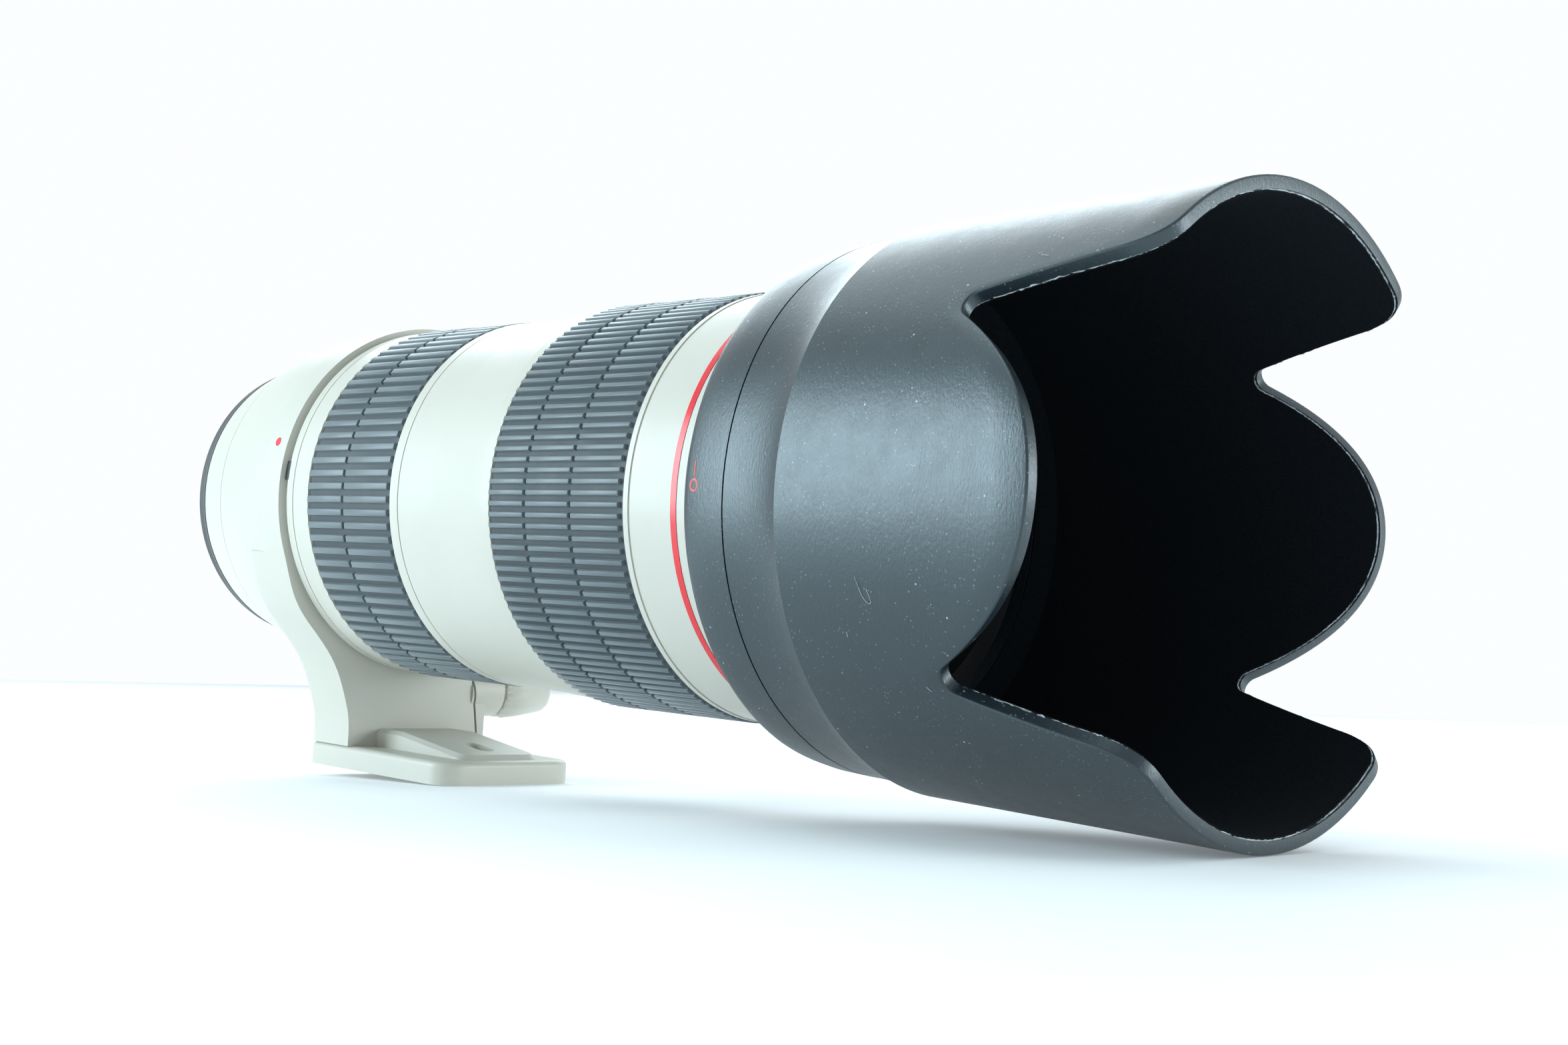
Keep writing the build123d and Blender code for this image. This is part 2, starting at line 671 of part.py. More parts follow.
# ---- tripod collar -------------------------------------------------------------------------
collar_bore = seat_r + run_gap
foot_top = foot_base - foot_thickness
split_low = split_at - split_width / 2
dot_out = (-cos(radians(dot_angle)), 0, sin(radians(dot_angle)))
dot_plane = Plane((0, -dot_station, 0), x_dir=(0, 1, 0), z_dir=dot_out).offset(collar_front_r - 0.5)
with BuildPart() as foot_plate:
    with BuildSketch(Plane.XY.offset(-foot_base)):
        with Locations((0, -(stem_rear + foot_front) / 2)):
            Rectangle(2 * foot_half_width, foot_front - stem_rear)
    extrude(amount=foot_thickness)
    corners = edges().filter_by(Axis.Z).filter_by(lambda e: e.center().Y < -foot_front + 0.1)
    fillet(corners, foot_corner_r)
    rim = faces().sort_by(Axis.Z)[-1].edges().filter_by(lambda e: e.center().Y < -stem_rear - 1)
    fillet(rim, foot_edge_round)

with BuildPart() as foot_pad:
    with BuildSketch(Plane.YZ.offset(-pad_half_width)):
        with BuildLine():
            Polyline((-stem_front + 1, -foot_top - 0.5), (-stem_front + 1, -foot_top + pad_height),
                     (-pad_rear - 6, -foot_top + pad_height), (-pad_front, -foot_top + pad_front_height),
                     (-pad_front, -foot_top - 0.5), close=True)
        make_face()
    extrude(amount=2 * pad_half_width)
    pad_corners = edges().filter_by(Axis.Z).filter_by(lambda e: e.center().Y < -pad_front + 0.1)
    fillet(pad_corners, pad_corner_r)
    top_edges = edges().filter_by(lambda e: e.center().Z > -foot_top + pad_front_height - 0.1)
    pad_rim = top_edges.filter_by(lambda e: e.center().Y < -stem_front).filter_by(Axis.X, reverse=True)
    chamfer(pad_rim, pad_bevel)

with BuildPart() as tripod_collar:
    with BuildSketch(Plane.XY):
        with BuildLine():
            Polyline((collar_rear_r, -collar_rear), (collar_bore, -collar_rear),
                     (collar_bore, -collar_front), (collar_front_r, -collar_front),
                     (collar_front_r, -collar_front + 8))
            ThreePointArc((collar_front_r, -collar_front + 8), (collar_mid_r, -collar_rear - 15),
                          (collar_rear_r, -collar_rear))
        make_face()
    revolve(axis=Axis.Y)
    with BuildSketch(station(stem_rear)):
        with BuildLine():
            flare_start = around(collar_front_r, 180 + flare_angle)
            flare_end = (-foot_half_width, -foot_top)
            Spline(flare_start, (-35.4, -25.6), (-28.0, -34.4), (-23.3, -41.0), (-20.3, -48.5), flare_end,
                   tangents=[(sin(radians(flare_angle)), -cos(radians(flare_angle))), (0, -1)])
            Polyline(flare_end, (ear_outer, -foot_top), (ear_outer, -collar_bore + 8),
                     (-collar_bore + 4, -collar_bore + 24), flare_start)
        make_face()
    extrude(amount=stem_front - stem_rear)
    with BuildSketch(Plane.YZ.offset(split_low)):
        with Locations((-clamp_station, -clamp_depth)):
            Circle(boss_r)
    extrude(amount=knob_inner - boss_gap - split_low)
    add(foot_plate.part)
    add(foot_pad.part)
    with BuildSketch(Plane.XY.offset(-foot_top + pad_front_height)):
        with Locations((0, -pad_front + 9)):
            SlotOverall(9, 4.5, rotation=90)
    extrude(amount=pad_height, mode=Mode.SUBTRACT)
    with BuildSketch(station(collar_rear - 1)):
        Circle(collar_bore)
    extrude(amount=stem_front - collar_rear + 2, mode=Mode.SUBTRACT)
    # the clamp's split runs from the bore down to the foot, and under the ear
    split_height = foot_top - collar_bore + 8
    with BuildSketch(station(collar_rear - 1)):
        with Locations((split_at, -(collar_bore - 8 + foot_top) / 2)):
            Rectangle(split_width, split_height, rotation=split_tilt)
        with Locations(((split_at + ear_outer + 8) / 2, -foot_top + under_ear / 2)):
            Rectangle(ear_outer + 8 - split_at + split_width, under_ear)
    extrude(amount=stem_front - collar_rear + 2, mode=Mode.SUBTRACT)
    with BuildSketch(Plane.YZ.offset(screw_start - 2)):
        with Locations((-clamp_station, -clamp_depth)):
            Circle(clamp_screw_r + run_gap)
    extrude(amount=knob_inner, mode=Mode.SUBTRACT)
    with BuildSketch(Plane.XY.offset(-foot_base)):
        with Locations((0, -bush_large_at)):
            Circle(bush_large_r + seat_gap)
        with Locations((0, -bush_small_at)):
            Circle(bush_small_r + seat_gap)
    extrude(amount=bush_depth, mode=Mode.SUBTRACT)
    with BuildSketch(dot_plane):
        Circle(dot_r + seat_gap)
    extrude(amount=2, mode=Mode.SUBTRACT)
save(tripod_collar.part, "tripod_collar")

for bush_name, at, outer, thread in (("foot_bush_large", bush_large_at, bush_large_r, bush_large_thread_r),
                                     ("foot_bush_small", bush_small_at, bush_small_r, bush_small_thread_r)):
    with BuildPart() as bush:
        with BuildSketch(Plane.XY.offset(-foot_base + 0.15)):
            with Locations((0, -at)):
                Circle(outer)
                Circle(thread, mode=Mode.SUBTRACT)
        extrude(amount=bush_depth - 0.15)
    save(bush.part, bush_name)

with BuildPart() as collar_dot:
    with BuildSketch(dot_plane):
        Circle(dot_r)
    extrude(amount=0.55)
save(collar_dot.part, "collar_dot")

with BuildPart() as clamp_knob:
    with BuildSketch(Plane.YZ.offset(knob_inner)):
        with Locations((-clamp_station, -clamp_depth)):
            Circle(knob_base_r)
    with BuildSketch(Plane.YZ.offset(knob_outer)):
        with Locations((-clamp_station, -clamp_depth)):
            Circle(knob_tip_r)
    loft()
    fillet(faces().sort_by(Axis.X)[-1].edges(), 1.5)
    with BuildSketch(Plane.YZ.offset(screw_start)):
        with Locations((-clamp_station, -clamp_depth)):
            Circle(clamp_screw_r)
    extrude(amount=knob_inner - screw_start)
save(clamp_knob.part, "clamp_knob")

# ---- hood ----------------------------------------------------------------------------------
cone_rise = (hood_front_r - hood_step_r) / (hood_front - hood_step)
petal_depth = valley_share * (hood_front - hood_step)
hood_valley = hood_front - petal_depth
hood_tip = hood_front - tip_share * petal_depth


def across(angle):
    """Distance along the cutting plane of a point on the wall, angle from the horizontal."""
    return hood_edge_r * sin(radians(angle - cut_angle))


def petal_cutter(shift):
    """Tool that cuts the four notches between the petals, moved back by shift."""
    aim = Plane((0, shift, 0), x_dir=(sin(radians(cut_angle)), 0, cos(radians(cut_angle))),
                z_dir=(-cos(radians(cut_angle)), 0, sin(radians(cut_angle))))
    with BuildPart() as tool:
        with BuildSketch(aim.offset(30)):
            with BuildLine():
                tip = (across(0), -hood_tip)
                side = (across(31.2), -hood_valley - 0.034 * petal_depth)
                floor = (across(33.7), -hood_valley)
                rise = (across(36.2), -hood_valley - 0.052 * petal_depth)
                shoulder = (across(43.8), -hood_front + 0.221 * petal_depth)
                crown = (across(51.5), -hood_front - 0.01)
                Spline(tip, (across(18), -hood_tip + 0.181 * petal_depth),
                       (across(24.8), -hood_tip + 0.377 * petal_depth), side,
                       tangents=((1, 0), (0.0198 * petal_depth, 1)))
                ThreePointArc(side, floor, rise)
                Line(rise, shoulder)
                ThreePointArc(shoulder, (across(46.2), -hood_front + 0.0675 * petal_depth), crown)
                Polyline(crown, (across(51.5), -hood_front - 12), (across(-14), -hood_front - 12),
                         (across(-14), -hood_tip), tip)
            make_face()
        extrude(amount=40)
        mirror(about=Plane.XY)
        mirror(about=Plane.YZ)
    return tool.part


hood_inside_rear = lens_front + 2.4
hood_bore = front_barrel_r + face_gap
with BuildPart() as hood_shell:
    with BuildSketch(Plane.XY):
        with BuildLine():
            Polyline((hood_bore, -hood_collar_rear), (front_barrel_r + 1.9, -hood_collar_rear),
                     (front_barrel_r + 3, -hood_collar_rear - 1), (hood_rear_r - 1.2, -hood_rear + 1.6))
            ThreePointArc((hood_rear_r - 1.2, -hood_rear + 1.6), (hood_rear_r - 0.2, -hood_rear + 0.5),
                          (hood_rear_r, -hood_rear))
            ThreePointArc((hood_rear_r, -hood_rear), (hood_waist_r - 0.3, -hood_rear - 4.6),
                          (hood_waist_r, -hood_seam))
            Polyline((hood_waist_r, -hood_seam), (hood_waist_r - line_depth, -hood_seam),
                     (hood_waist_r - line_depth, -hood_seam - line_width),
                     (hood_waist_r, -hood_seam - line_width))
            Spline((hood_waist_r, -hood_seam - line_width), (hood_waist_r + 0.5, -hood_seam - 6),
                   (hood_step_r, -hood_step), tangents=((0, -1), (0.35, -1)))
            Polyline((hood_step_r, -hood_step), (hood_front_r, -hood_front),
                     (hood_front_r - hood_wall + hood_lip, -hood_front),
                     (hood_step_r - hood_wall + hood_lip, -hood_step),
                     (hood_waist_r - hood_wall + hood_lip, -hood_seam),
                     (hood_waist_r - hood_wall, -hood_inside_rear - 2),
                     (hood_bore, -hood_inside_rear), (hood_bore, -hood_collar_rear))
        make_face()
    revolve(axis=Axis.Y)
    add(petal_cutter(0), mode=Mode.SUBTRACT)
    with BuildPart(mode=Mode.PRIVATE) as lip:
        revolve(section([
            (hood_waist_r - hood_wall, hood_inside_rear + 2),
            (hood_waist_r - hood_wall + hood_lip, hood_seam),
            (hood_step_r - hood_wall + hood_lip, hood_step),
            (hood_front_r - hood_wall + hood_lip, hood_front - hood_lip_step),
            (hood_front_r - hood_wall, hood_front - hood_lip_step), (hood_step_r - hood_wall, hood_step),
        ]), axis=Axis.Y)
        add(petal_cutter(hood_lip_step), mode=Mode.SUBTRACT)
    add(lip.part)
    with BuildSketch(station(groove_rear + face_gap)):
        for i in range(hood_lug_count):
            lug = 90 + i * 360 / hood_lug_count - hood_lug_sweep / 2
            add(sector(front_barrel_r - groove_depth + face_gap, front_barrel_r + 1, lug, hood_lug_sweep))
    extrude(amount=groove_width - 2 * face_gap)
save(hood_shell.part, "hood_shell")

liner_r = hood_step_r - hood_wall - 0.02
liner_rise = cone_rise * (hood_front - liner_step - hood_step)
with BuildPart() as hood_liner:
    revolve(section([
        (liner_r, hood_step), (liner_r + liner_rise, hood_front - liner_step),
        (liner_r - liner_thickness + liner_rise, hood_front - liner_step),
        (liner_r - liner_thickness, hood_step),
    ]), axis=Axis.Y)
    add(petal_cutter(liner_step), mode=Mode.SUBTRACT)
save(hood_liner.part, "hood_liner")
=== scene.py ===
import bpy
import json
from math import atan2, cos, pi, radians, sin
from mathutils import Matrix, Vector
from mathutils.geometry import interpolate_bezier
import numpy as np


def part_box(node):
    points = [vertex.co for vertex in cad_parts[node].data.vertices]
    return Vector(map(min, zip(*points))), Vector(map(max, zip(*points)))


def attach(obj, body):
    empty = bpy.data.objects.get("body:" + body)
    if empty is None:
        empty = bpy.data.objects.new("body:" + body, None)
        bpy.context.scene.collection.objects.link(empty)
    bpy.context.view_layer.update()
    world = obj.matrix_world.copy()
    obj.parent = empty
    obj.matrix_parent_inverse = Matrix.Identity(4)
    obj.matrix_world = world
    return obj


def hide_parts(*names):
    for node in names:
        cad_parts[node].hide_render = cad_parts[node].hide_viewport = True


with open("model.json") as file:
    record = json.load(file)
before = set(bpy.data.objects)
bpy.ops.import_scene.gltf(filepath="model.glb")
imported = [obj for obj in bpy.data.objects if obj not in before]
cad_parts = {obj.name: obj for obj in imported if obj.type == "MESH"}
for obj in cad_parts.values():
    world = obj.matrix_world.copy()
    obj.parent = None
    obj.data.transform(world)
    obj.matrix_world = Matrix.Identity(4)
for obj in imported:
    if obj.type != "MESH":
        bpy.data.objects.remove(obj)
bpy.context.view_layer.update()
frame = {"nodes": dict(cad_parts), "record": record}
print("frame loaded")


touching = 2e-6    # vertices this near to a line count as on it

# small helpers for picking, turning and finishing

def deselectAll():
    if bpy.context.object and bpy.context.object.mode != "OBJECT":
        bpy.ops.object.mode_set(mode="OBJECT")
    bpy.ops.object.select_all(action="DESELECT")


def makeActive(piece):
    deselectAll()
    piece.select_set(True)
    bpy.context.view_layer.objects.active = piece


def selectWhere(piece, kind, test):
    # kind is VERT, EDGE or FACE; leaves the piece in edit mode with what passes the test selected
    makeActive(piece)
    bpy.ops.object.mode_set(mode="EDIT")
    bpy.ops.mesh.select_mode(type=kind)
    bpy.ops.mesh.select_all(action="DESELECT")
    bpy.ops.object.mode_set(mode="OBJECT")
    mesh = piece.data
    parts = {"VERT": mesh.vertices, "EDGE": mesh.edges, "FACE": mesh.polygons}[kind]
    for part in parts:
        part.select = bool(test(part))
    bpy.ops.object.mode_set(mode="EDIT")


def edgeEnds(piece, edge):
    return [piece.data.vertices[i].co for i in edge.vertices]


def applyAll(piece):
    makeActive(piece)
    for modifier in list(piece.modifiers):
        bpy.ops.object.modifier_apply(modifier=modifier.name)


def settle(piece):
    # the object goes to the origin, unturned, with its place in its mesh
    makeActive(piece)
    bpy.ops.object.transform_apply(location=True, rotation=True, scale=True)


def outward(piece):
    makeActive(piece)
    bpy.ops.object.mode_set(mode="EDIT")
    bpy.ops.mesh.select_mode(type="FACE")
    bpy.ops.mesh.select_all(action="SELECT")
    bpy.ops.mesh.remove_doubles(threshold=1e-6)
    bpy.ops.mesh.normals_make_consistent(inside=False)
    bpy.ops.object.mode_set(mode="OBJECT")


def smooth(piece, angle=35):
    makeActive(piece)
    bpy.ops.object.shade_smooth_by_angle(angle=radians(angle))


def dress(piece, name, body, material):
    # names the piece and gives it its finish and the body that it moves with
    piece.name = name
    piece.data.name = name
    piece.data.materials.clear()
    piece.data.materials.append(material)
    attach(piece, body)


def startRing(r, station, count):
    # a ring of vertices across the optical axis, left in edit mode
    deselectAll()
    bpy.ops.mesh.primitive_circle_add(vertices=count, radius=r, location=(0, -station, 0),
                                      rotation=(pi / 2, 0, 0))
    ring = bpy.context.object
    settle(ring)
    bpy.ops.object.mode_set(mode="EDIT")
    bpy.ops.mesh.select_mode(type="VERT")
    bpy.ops.mesh.select_all(action="SELECT")
    return ring


def nextRing(rFrom, sFrom, r, station):
    # extrudes the selected ring to the next radius and station
    bpy.ops.mesh.extrude_region_move(TRANSFORM_OT_translate={"value": (0, sFrom - station, 0)})
    if abs(r - rFrom) > 1e-9:
        grow = r / rFrom
        bpy.ops.transform.resize(value=(grow, 1, grow), center_override=(0, -station, 0))


def extrudeAlong(route):
    # takes the selected ring through the rest of the (radius, station) points
    for (rFrom, sFrom), (r, station) in zip(route, route[1:]):
        nextRing(rFrom, sFrom, r, station)


def turnOnLathe(outline, count):
    # outline is a closed list of (radius, station) points
    piece = startRing(*outline[0], count)
    extrudeAlong(outline)
    bpy.ops.object.mode_set(mode="OBJECT")

    def onEnd(vertex):
        r = (vertex.co.x ** 2 + vertex.co.z ** 2) ** 0.5
        return any(abs(r - endR) < touching and abs(-vertex.co.y - endS) < touching
                   for endR, endS in (outline[0], outline[-1]))

    selectWhere(piece, "VERT", onEnd)
    bpy.ops.mesh.select_mode(type="EDGE")
    bpy.ops.mesh.bridge_edge_loops()
    bpy.ops.object.mode_set(mode="OBJECT")
    outward(piece)
    return piece


# materials, all procedural

def newMaterial(name):
    material = bpy.data.materials.new(name)
    material.use_nodes = True
    nodes = material.node_tree.nodes
    shader = nodes["Principled BSDF"]
    place = nodes.new("ShaderNodeTexCoord")
    return material, nodes, material.node_tree.links, shader, place


def noiseNode(nodes, links, place, scale, detail=4, roughness=0.5, stretch=None):
    noise = nodes.new("ShaderNodeTexNoise")
    noise.inputs["Scale"].default_value = scale
    noise.inputs["Detail"].default_value = detail
    noise.inputs["Roughness"].default_value = roughness
    if stretch:
        mapping = nodes.new("ShaderNodeMapping")
        mapping.inputs["Scale"].default_value = stretch
        links.new(place.outputs["Object"], mapping.inputs["Vector"])
        links.new(mapping.outputs["Vector"], noise.inputs["Vector"])
    else:
        links.new(place.outputs["Object"], noise.inputs["Vector"])
    return noise


def rampNode(nodes, links, source, stops):
    ramp = nodes.new("ShaderNodeValToRGB")
    while len(ramp.color_ramp.elements) < len(stops):
        ramp.color_ramp.elements.new(0.5)
    for element, (position, colour) in zip(ramp.color_ramp.elements, stops):
        element.position = position
        element.color = (*colour, 1)
    links.new(source, ramp.inputs["Fac"])
    return ramp


def bumpNode(nodes, links, source, shader, strength, distance, under=None):
    bump = nodes.new("ShaderNodeBump")
    bump.inputs["Strength"].default_value = strength
    bump.inputs["Distance"].default_value = distance
    links.new(source, bump.inputs["Height"])
    if under:
        links.new(under.outputs["Normal"], bump.inputs["Normal"])
    links.new(bump.outputs["Normal"], shader.inputs["Normal"])
    return bump


def grey(value):
    return (value, value, value)


def glossNode(nodes, links, source, shader, low, high):
    # roughness that follows a pattern; low and high are (place in the pattern, roughness)
    dull = rampNode(nodes, links, source, [(low[0], grey(low[1])), (high[0], grey(high[1]))])
    links.new(dull.outputs["Color"], shader.inputs["Roughness"])


def makePaint(name, light, dark, rough, coat):
    # stoved paint: faint colour drift, a fine orange peel and a few duller patches
    material, nodes, links, shader, place = newMaterial(name)
    drift = noiseNode(nodes, links, place, scale=18, detail=3)
    tint = rampNode(nodes, links, drift.outputs["Fac"], [(0.35, dark), (0.65, light)])
    links.new(tint.outputs["Color"], shader.inputs["Base Color"])
    patches = noiseNode(nodes, links, place, scale=55, detail=6, roughness=0.6)
    glossNode(nodes, links, patches.outputs["Fac"], shader, (0.3, rough - 0.05), (0.75, rough + 0.09))
    peel = noiseNode(nodes, links, place, scale=1500, detail=2)
    bumpNode(nodes, links, peel.outputs["Fac"], shader, strength=0.12, distance=0.00008)
    shader.inputs["Coat Weight"].default_value = coat
    shader.inputs["Coat Roughness"].default_value = 0.18
    shader.inputs["IOR"].default_value = 1.5
    return material


def makeRubber(name, light, dark, rough):
    # moulded rubber: mottled, with a bloom on it and a fine grain
    material, nodes, links, shader, place = newMaterial(name)
    bloom = noiseNode(nodes, links, place, scale=90, detail=6, roughness=0.62)
    tint = rampNode(nodes, links, bloom.outputs["Fac"], [(0.3, dark), (0.72, light)])
    links.new(tint.outputs["Color"], shader.inputs["Base Color"])
    glossNode(nodes, links, bloom.outputs["Fac"], shader, (0.3, rough - 0.07), (0.7, rough + 0.08))
    grain = noiseNode(nodes, links, place, scale=5200, detail=3)
    bumpNode(nodes, links, grain.outputs["Fac"], shader, strength=0.25, distance=0.00005)
    shader.inputs["Sheen Weight"].default_value = 0.25
    shader.inputs["Sheen Roughness"].default_value = 0.5
    shader.inputs["Specular IOR Level"].default_value = 0.65
    return material


def speckNode(nodes, links, place, scale, size, low, high):
    # scattered specks, and a patchy mask that keeps only some of them
    cells = nodes.new("ShaderNodeTexVoronoi")
    cells.inputs["Scale"].default_value = scale
    links.new(place.outputs["Object"], cells.inputs["Vector"])
    speck = rampNode(nodes, links, cells.outputs["Distance"], [(size, grey(1)), (size * 1.6, grey(0))])
    where = noiseNode(nodes, links, place, scale=scale / 3, detail=4)
    some = rampNode(nodes, links, where.outputs["Fac"], [(low, grey(0)), (high, grey(1))])
    both = nodes.new("ShaderNodeMath")
    both.operation = "MULTIPLY"
    links.new(speck.outputs["Color"], both.inputs[0])
    links.new(some.outputs["Color"], both.inputs[1])
    return both


def tintOver(nodes, links, factor, under, colour):
    mix = nodes.new("ShaderNodeMix")
    mix.data_type = "RGBA"
    links.new(factor, mix.inputs["Factor"])
    links.new(under, mix.inputs["A"])
    mix.inputs["B"].default_value = (*colour, 1)
    return mix.outputs["Result"]


def makeHoodPlastic(name):
    # satin moulded plastic with a fine grain, dust, grit and dull rub patches
    material, nodes, links, shader, place = newMaterial(name)
    drift = noiseNode(nodes, links, place, scale=30, detail=5, roughness=0.6)
    base = rampNode(nodes, links, drift.outputs["Fac"],
                    [(0.3, (0.006, 0.013, 0.018)), (0.7, (0.009, 0.018, 0.024))])
    grit = speckNode(nodes, links, place, scale=1150, size=0.12, low=0.44, high=0.58)
    dust = speckNode(nodes, links, place, scale=430, size=0.06, low=0.54, high=0.60)
    colour = tintOver(nodes, links, grit.outputs["Value"], base.outputs["Color"], (0.13, 0.16, 0.175))
    colour = tintOver(nodes, links, dust.outputs["Value"], colour, (0.36, 0.40, 0.42))
    links.new(colour, shader.inputs["Base Color"])
    rub = noiseNode(nodes, links, place, scale=170, detail=9, roughness=0.72)
    glossNode(nodes, links, rub.outputs["Fac"], shader, (0.3, 0.33), (0.72, 0.41))
    grain = noiseNode(nodes, links, place, scale=2300, detail=3, roughness=0.6, stretch=(1, 1, 0.45))
    fine = bumpNode(nodes, links, grain.outputs["Fac"], shader, strength=0.55, distance=0.00010)
    bumpNode(nodes, links, dust.outputs["Value"], shader, strength=0.2, distance=0.00006, under=fine)
    shader.inputs["Specular IOR Level"].default_value = 0.95
    shader.inputs["Specular Tint"].default_value = (0.86, 0.96, 1.0, 1)
    return material


def makeFlock(name):
    # black pile that gives back almost no light
    material, nodes, links, shader, place = newMaterial(name)
    fibre = noiseNode(nodes, links, place, scale=2600, detail=5, roughness=0.75)
    tint = rampNode(nodes, links, fibre.outputs["Fac"],
                    [(0.35, (0.008, 0.0105, 0.0135)), (0.8, (0.018, 0.022, 0.027))])
    links.new(tint.outputs["Color"], shader.inputs["Base Color"])
    bumpNode(nodes, links, fibre.outputs["Fac"], shader, strength=0.8, distance=0.0003)
    shader.inputs["Roughness"].default_value = 1.0
    shader.inputs["Specular IOR Level"].default_value = 0.05
    return material


def ringLines(nodes, links, place, scale):
    # fine tool lines in rings round the optical axis
    lines = nodes.new("ShaderNodeTexWave")
    lines.wave_type = "RINGS"
    lines.rings_direction = "Y"
    lines.inputs["Scale"].default_value = scale
    lines.inputs["Distortion"].default_value = 1.2
    lines.inputs["Detail"].default_value = 2
    links.new(place.outputs["Object"], lines.inputs["Vector"])
    return lines


def makeMetal(name, light, dark, rough, turned=False, scale=400, metallic=1.0):
    # turned or plated metal: fine tool lines or a faint grain, and small changes of gloss
    material, nodes, links, shader, place = newMaterial(name)
    if turned:
        lines = ringLines(nodes, links, place, scale)
    else:
        lines = noiseNode(nodes, links, place, scale=scale, detail=4, roughness=0.6)
    tint = rampNode(nodes, links, lines.outputs["Fac"], [(0.3, dark), (0.7, light)])
    links.new(tint.outputs["Color"], shader.inputs["Base Color"])
    glossNode(nodes, links, lines.outputs["Fac"], shader, (0.3, rough - 0.03), (0.7, rough + 0.04))
    bumpNode(nodes, links, lines.outputs["Fac"], shader, strength=0.08, distance=0.00002)
    shader.inputs["Metallic"].default_value = metallic
    return material


def makePlastic(name, light, dark, rough, grainSize=2200, depth=0.00004):
    # plain moulded or painted finish with a fine grain
    material, nodes, links, shader, place = newMaterial(name)
    drift = noiseNode(nodes, links, place, scale=120, detail=4)
    tint = rampNode(nodes, links, drift.outputs["Fac"], [(0.3, dark), (0.7, light)])
    links.new(tint.outputs["Color"], shader.inputs["Base Color"])
    glossNode(nodes, links, drift.outputs["Fac"], shader, (0.3, rough - 0.04), (0.7, rough + 0.06))
    grain = noiseNode(nodes, links, place, scale=grainSize, detail=2)
    bumpNode(nodes, links, grain.outputs["Fac"], shader, strength=0.3, distance=depth)
    return material


def makeGlass(name, tint, rough, ior, coatTint):
    # clear, faintly smeared, with a thin tinted coating
    material, nodes, links, shader, place = newMaterial(name)
    smear = noiseNode(nodes, links, place, scale=60, detail=4)
    glossNode(nodes, links, smear.outputs["Fac"], shader, (0.4, rough), (0.75, rough + 0.03))
    shader.inputs["Base Color"].default_value = (*tint, 1)
    shader.inputs["Transmission Weight"].default_value = 1.0
    shader.inputs["IOR"].default_value = ior
    shader.inputs["Coat Weight"].default_value = 0.6
    shader.inputs["Coat Tint"].default_value = (*coatTint, 1)
    shader.inputs["Coat Roughness"].default_value = 0.02
    return material


def makeLintMaterial(name):
    # pale fibre that fades into the black pile in places
    material, nodes, links, shader, place = newMaterial(name)
    patch = noiseNode(nodes, links, place, scale=260, detail=5, roughness=0.7)
    tint = rampNode(nodes, links, patch.outputs["Fac"],
                    [(0.38, (0.02, 0.023, 0.025)), (0.55, (0.56, 0.61, 0.63))])
    links.new(tint.outputs["Color"], shader.inputs["Base Color"])
    shader.inputs["Roughness"].default_value = 0.8
    return material


creamPaint = makePaint("cream_paint", light=(0.60, 0.583, 0.515), dark=(0.57, 0.553, 0.485),
                       rough=0.42, coat=0.08)
lintMaterial = makeLintMaterial("pale_lint")
gripRubber = makeRubber("grip_rubber", light=(0.105, 0.138, 0.152), dark=(0.076, 0.102, 0.115),
                        rough=0.40)
# the grips' floor between the ribs is the rib rubber made darker: painted shade between the ribs
gripFloorPaintedShade = makeRubber("grip_floor_painted_shade", light=(0.030, 0.046, 0.056), dark=(0.020, 0.032, 0.040),
                       rough=0.60)
sealRubber = makeRubber("seal_rubber", light=(0.03, 0.032, 0.036), dark=(0.018, 0.019, 0.022),
                        rough=0.62)
hoodPlastic = makeHoodPlastic("hood_plastic")
flock = makeFlock("black_flock")
redEnamel = makePlastic("red_enamel", light=(0.78, 0.035, 0.045), dark=(0.72, 0.025, 0.035),
                        rough=0.22, grainSize=900, depth=0.00001)
markPaint = makePlastic("mark_paint", light=(0.80, 0.16, 0.15), dark=(0.72, 0.13, 0.12),
                        rough=0.5, grainSize=2500, depth=0.00001)
blackPlastic = makePlastic("black_plastic", light=(0.030, 0.031, 0.034), dark=(0.020, 0.021, 0.024),
                           rough=0.42)
blackAlloy = makeMetal("black_alloy", light=(0.02, 0.02, 0.022), dark=(0.012, 0.012, 0.014),
                       rough=0.42, turned=True, scale=900, metallic=0.0)
mountChrome = makeMetal("mount_chrome", light=(0.72, 0.71, 0.69), dark=(0.66, 0.65, 0.63),
                        rough=0.26, turned=True, scale=1100)
screwSteel = makeMetal("screw_steel", light=(0.60, 0.60, 0.61), dark=(0.45, 0.45, 0.46), rough=0.3)
bareAlloy = makeMetal("bare_alloy", light=(0.72, 0.72, 0.74), dark=(0.60, 0.60, 0.62),
                      rough=0.35, turned=True, scale=1000)
bladeSteel = makeMetal("blade_steel", light=(0.06, 0.06, 0.065), dark=(0.04, 0.04, 0.045), rough=0.45)
goldPlate = makeMetal("gold_plate", light=(0.92, 0.68, 0.30), dark=(0.85, 0.60, 0.24), rough=0.2)
boardGreen = makePlastic("board_green", light=(0.03, 0.16, 0.07), dark=(0.02, 0.11, 0.05), rough=0.35)
lensGlass = makeGlass("lens_glass", tint=(0.80, 0.86, 0.86), rough=0.01,
                      ior=1.52, coatTint=(0.95, 0.92, 0.98))
windowPane = makeGlass("window_pane", tint=(0.30, 0.38, 0.44), rough=0.03, ior=1.49, coatTint=(1, 1, 1))

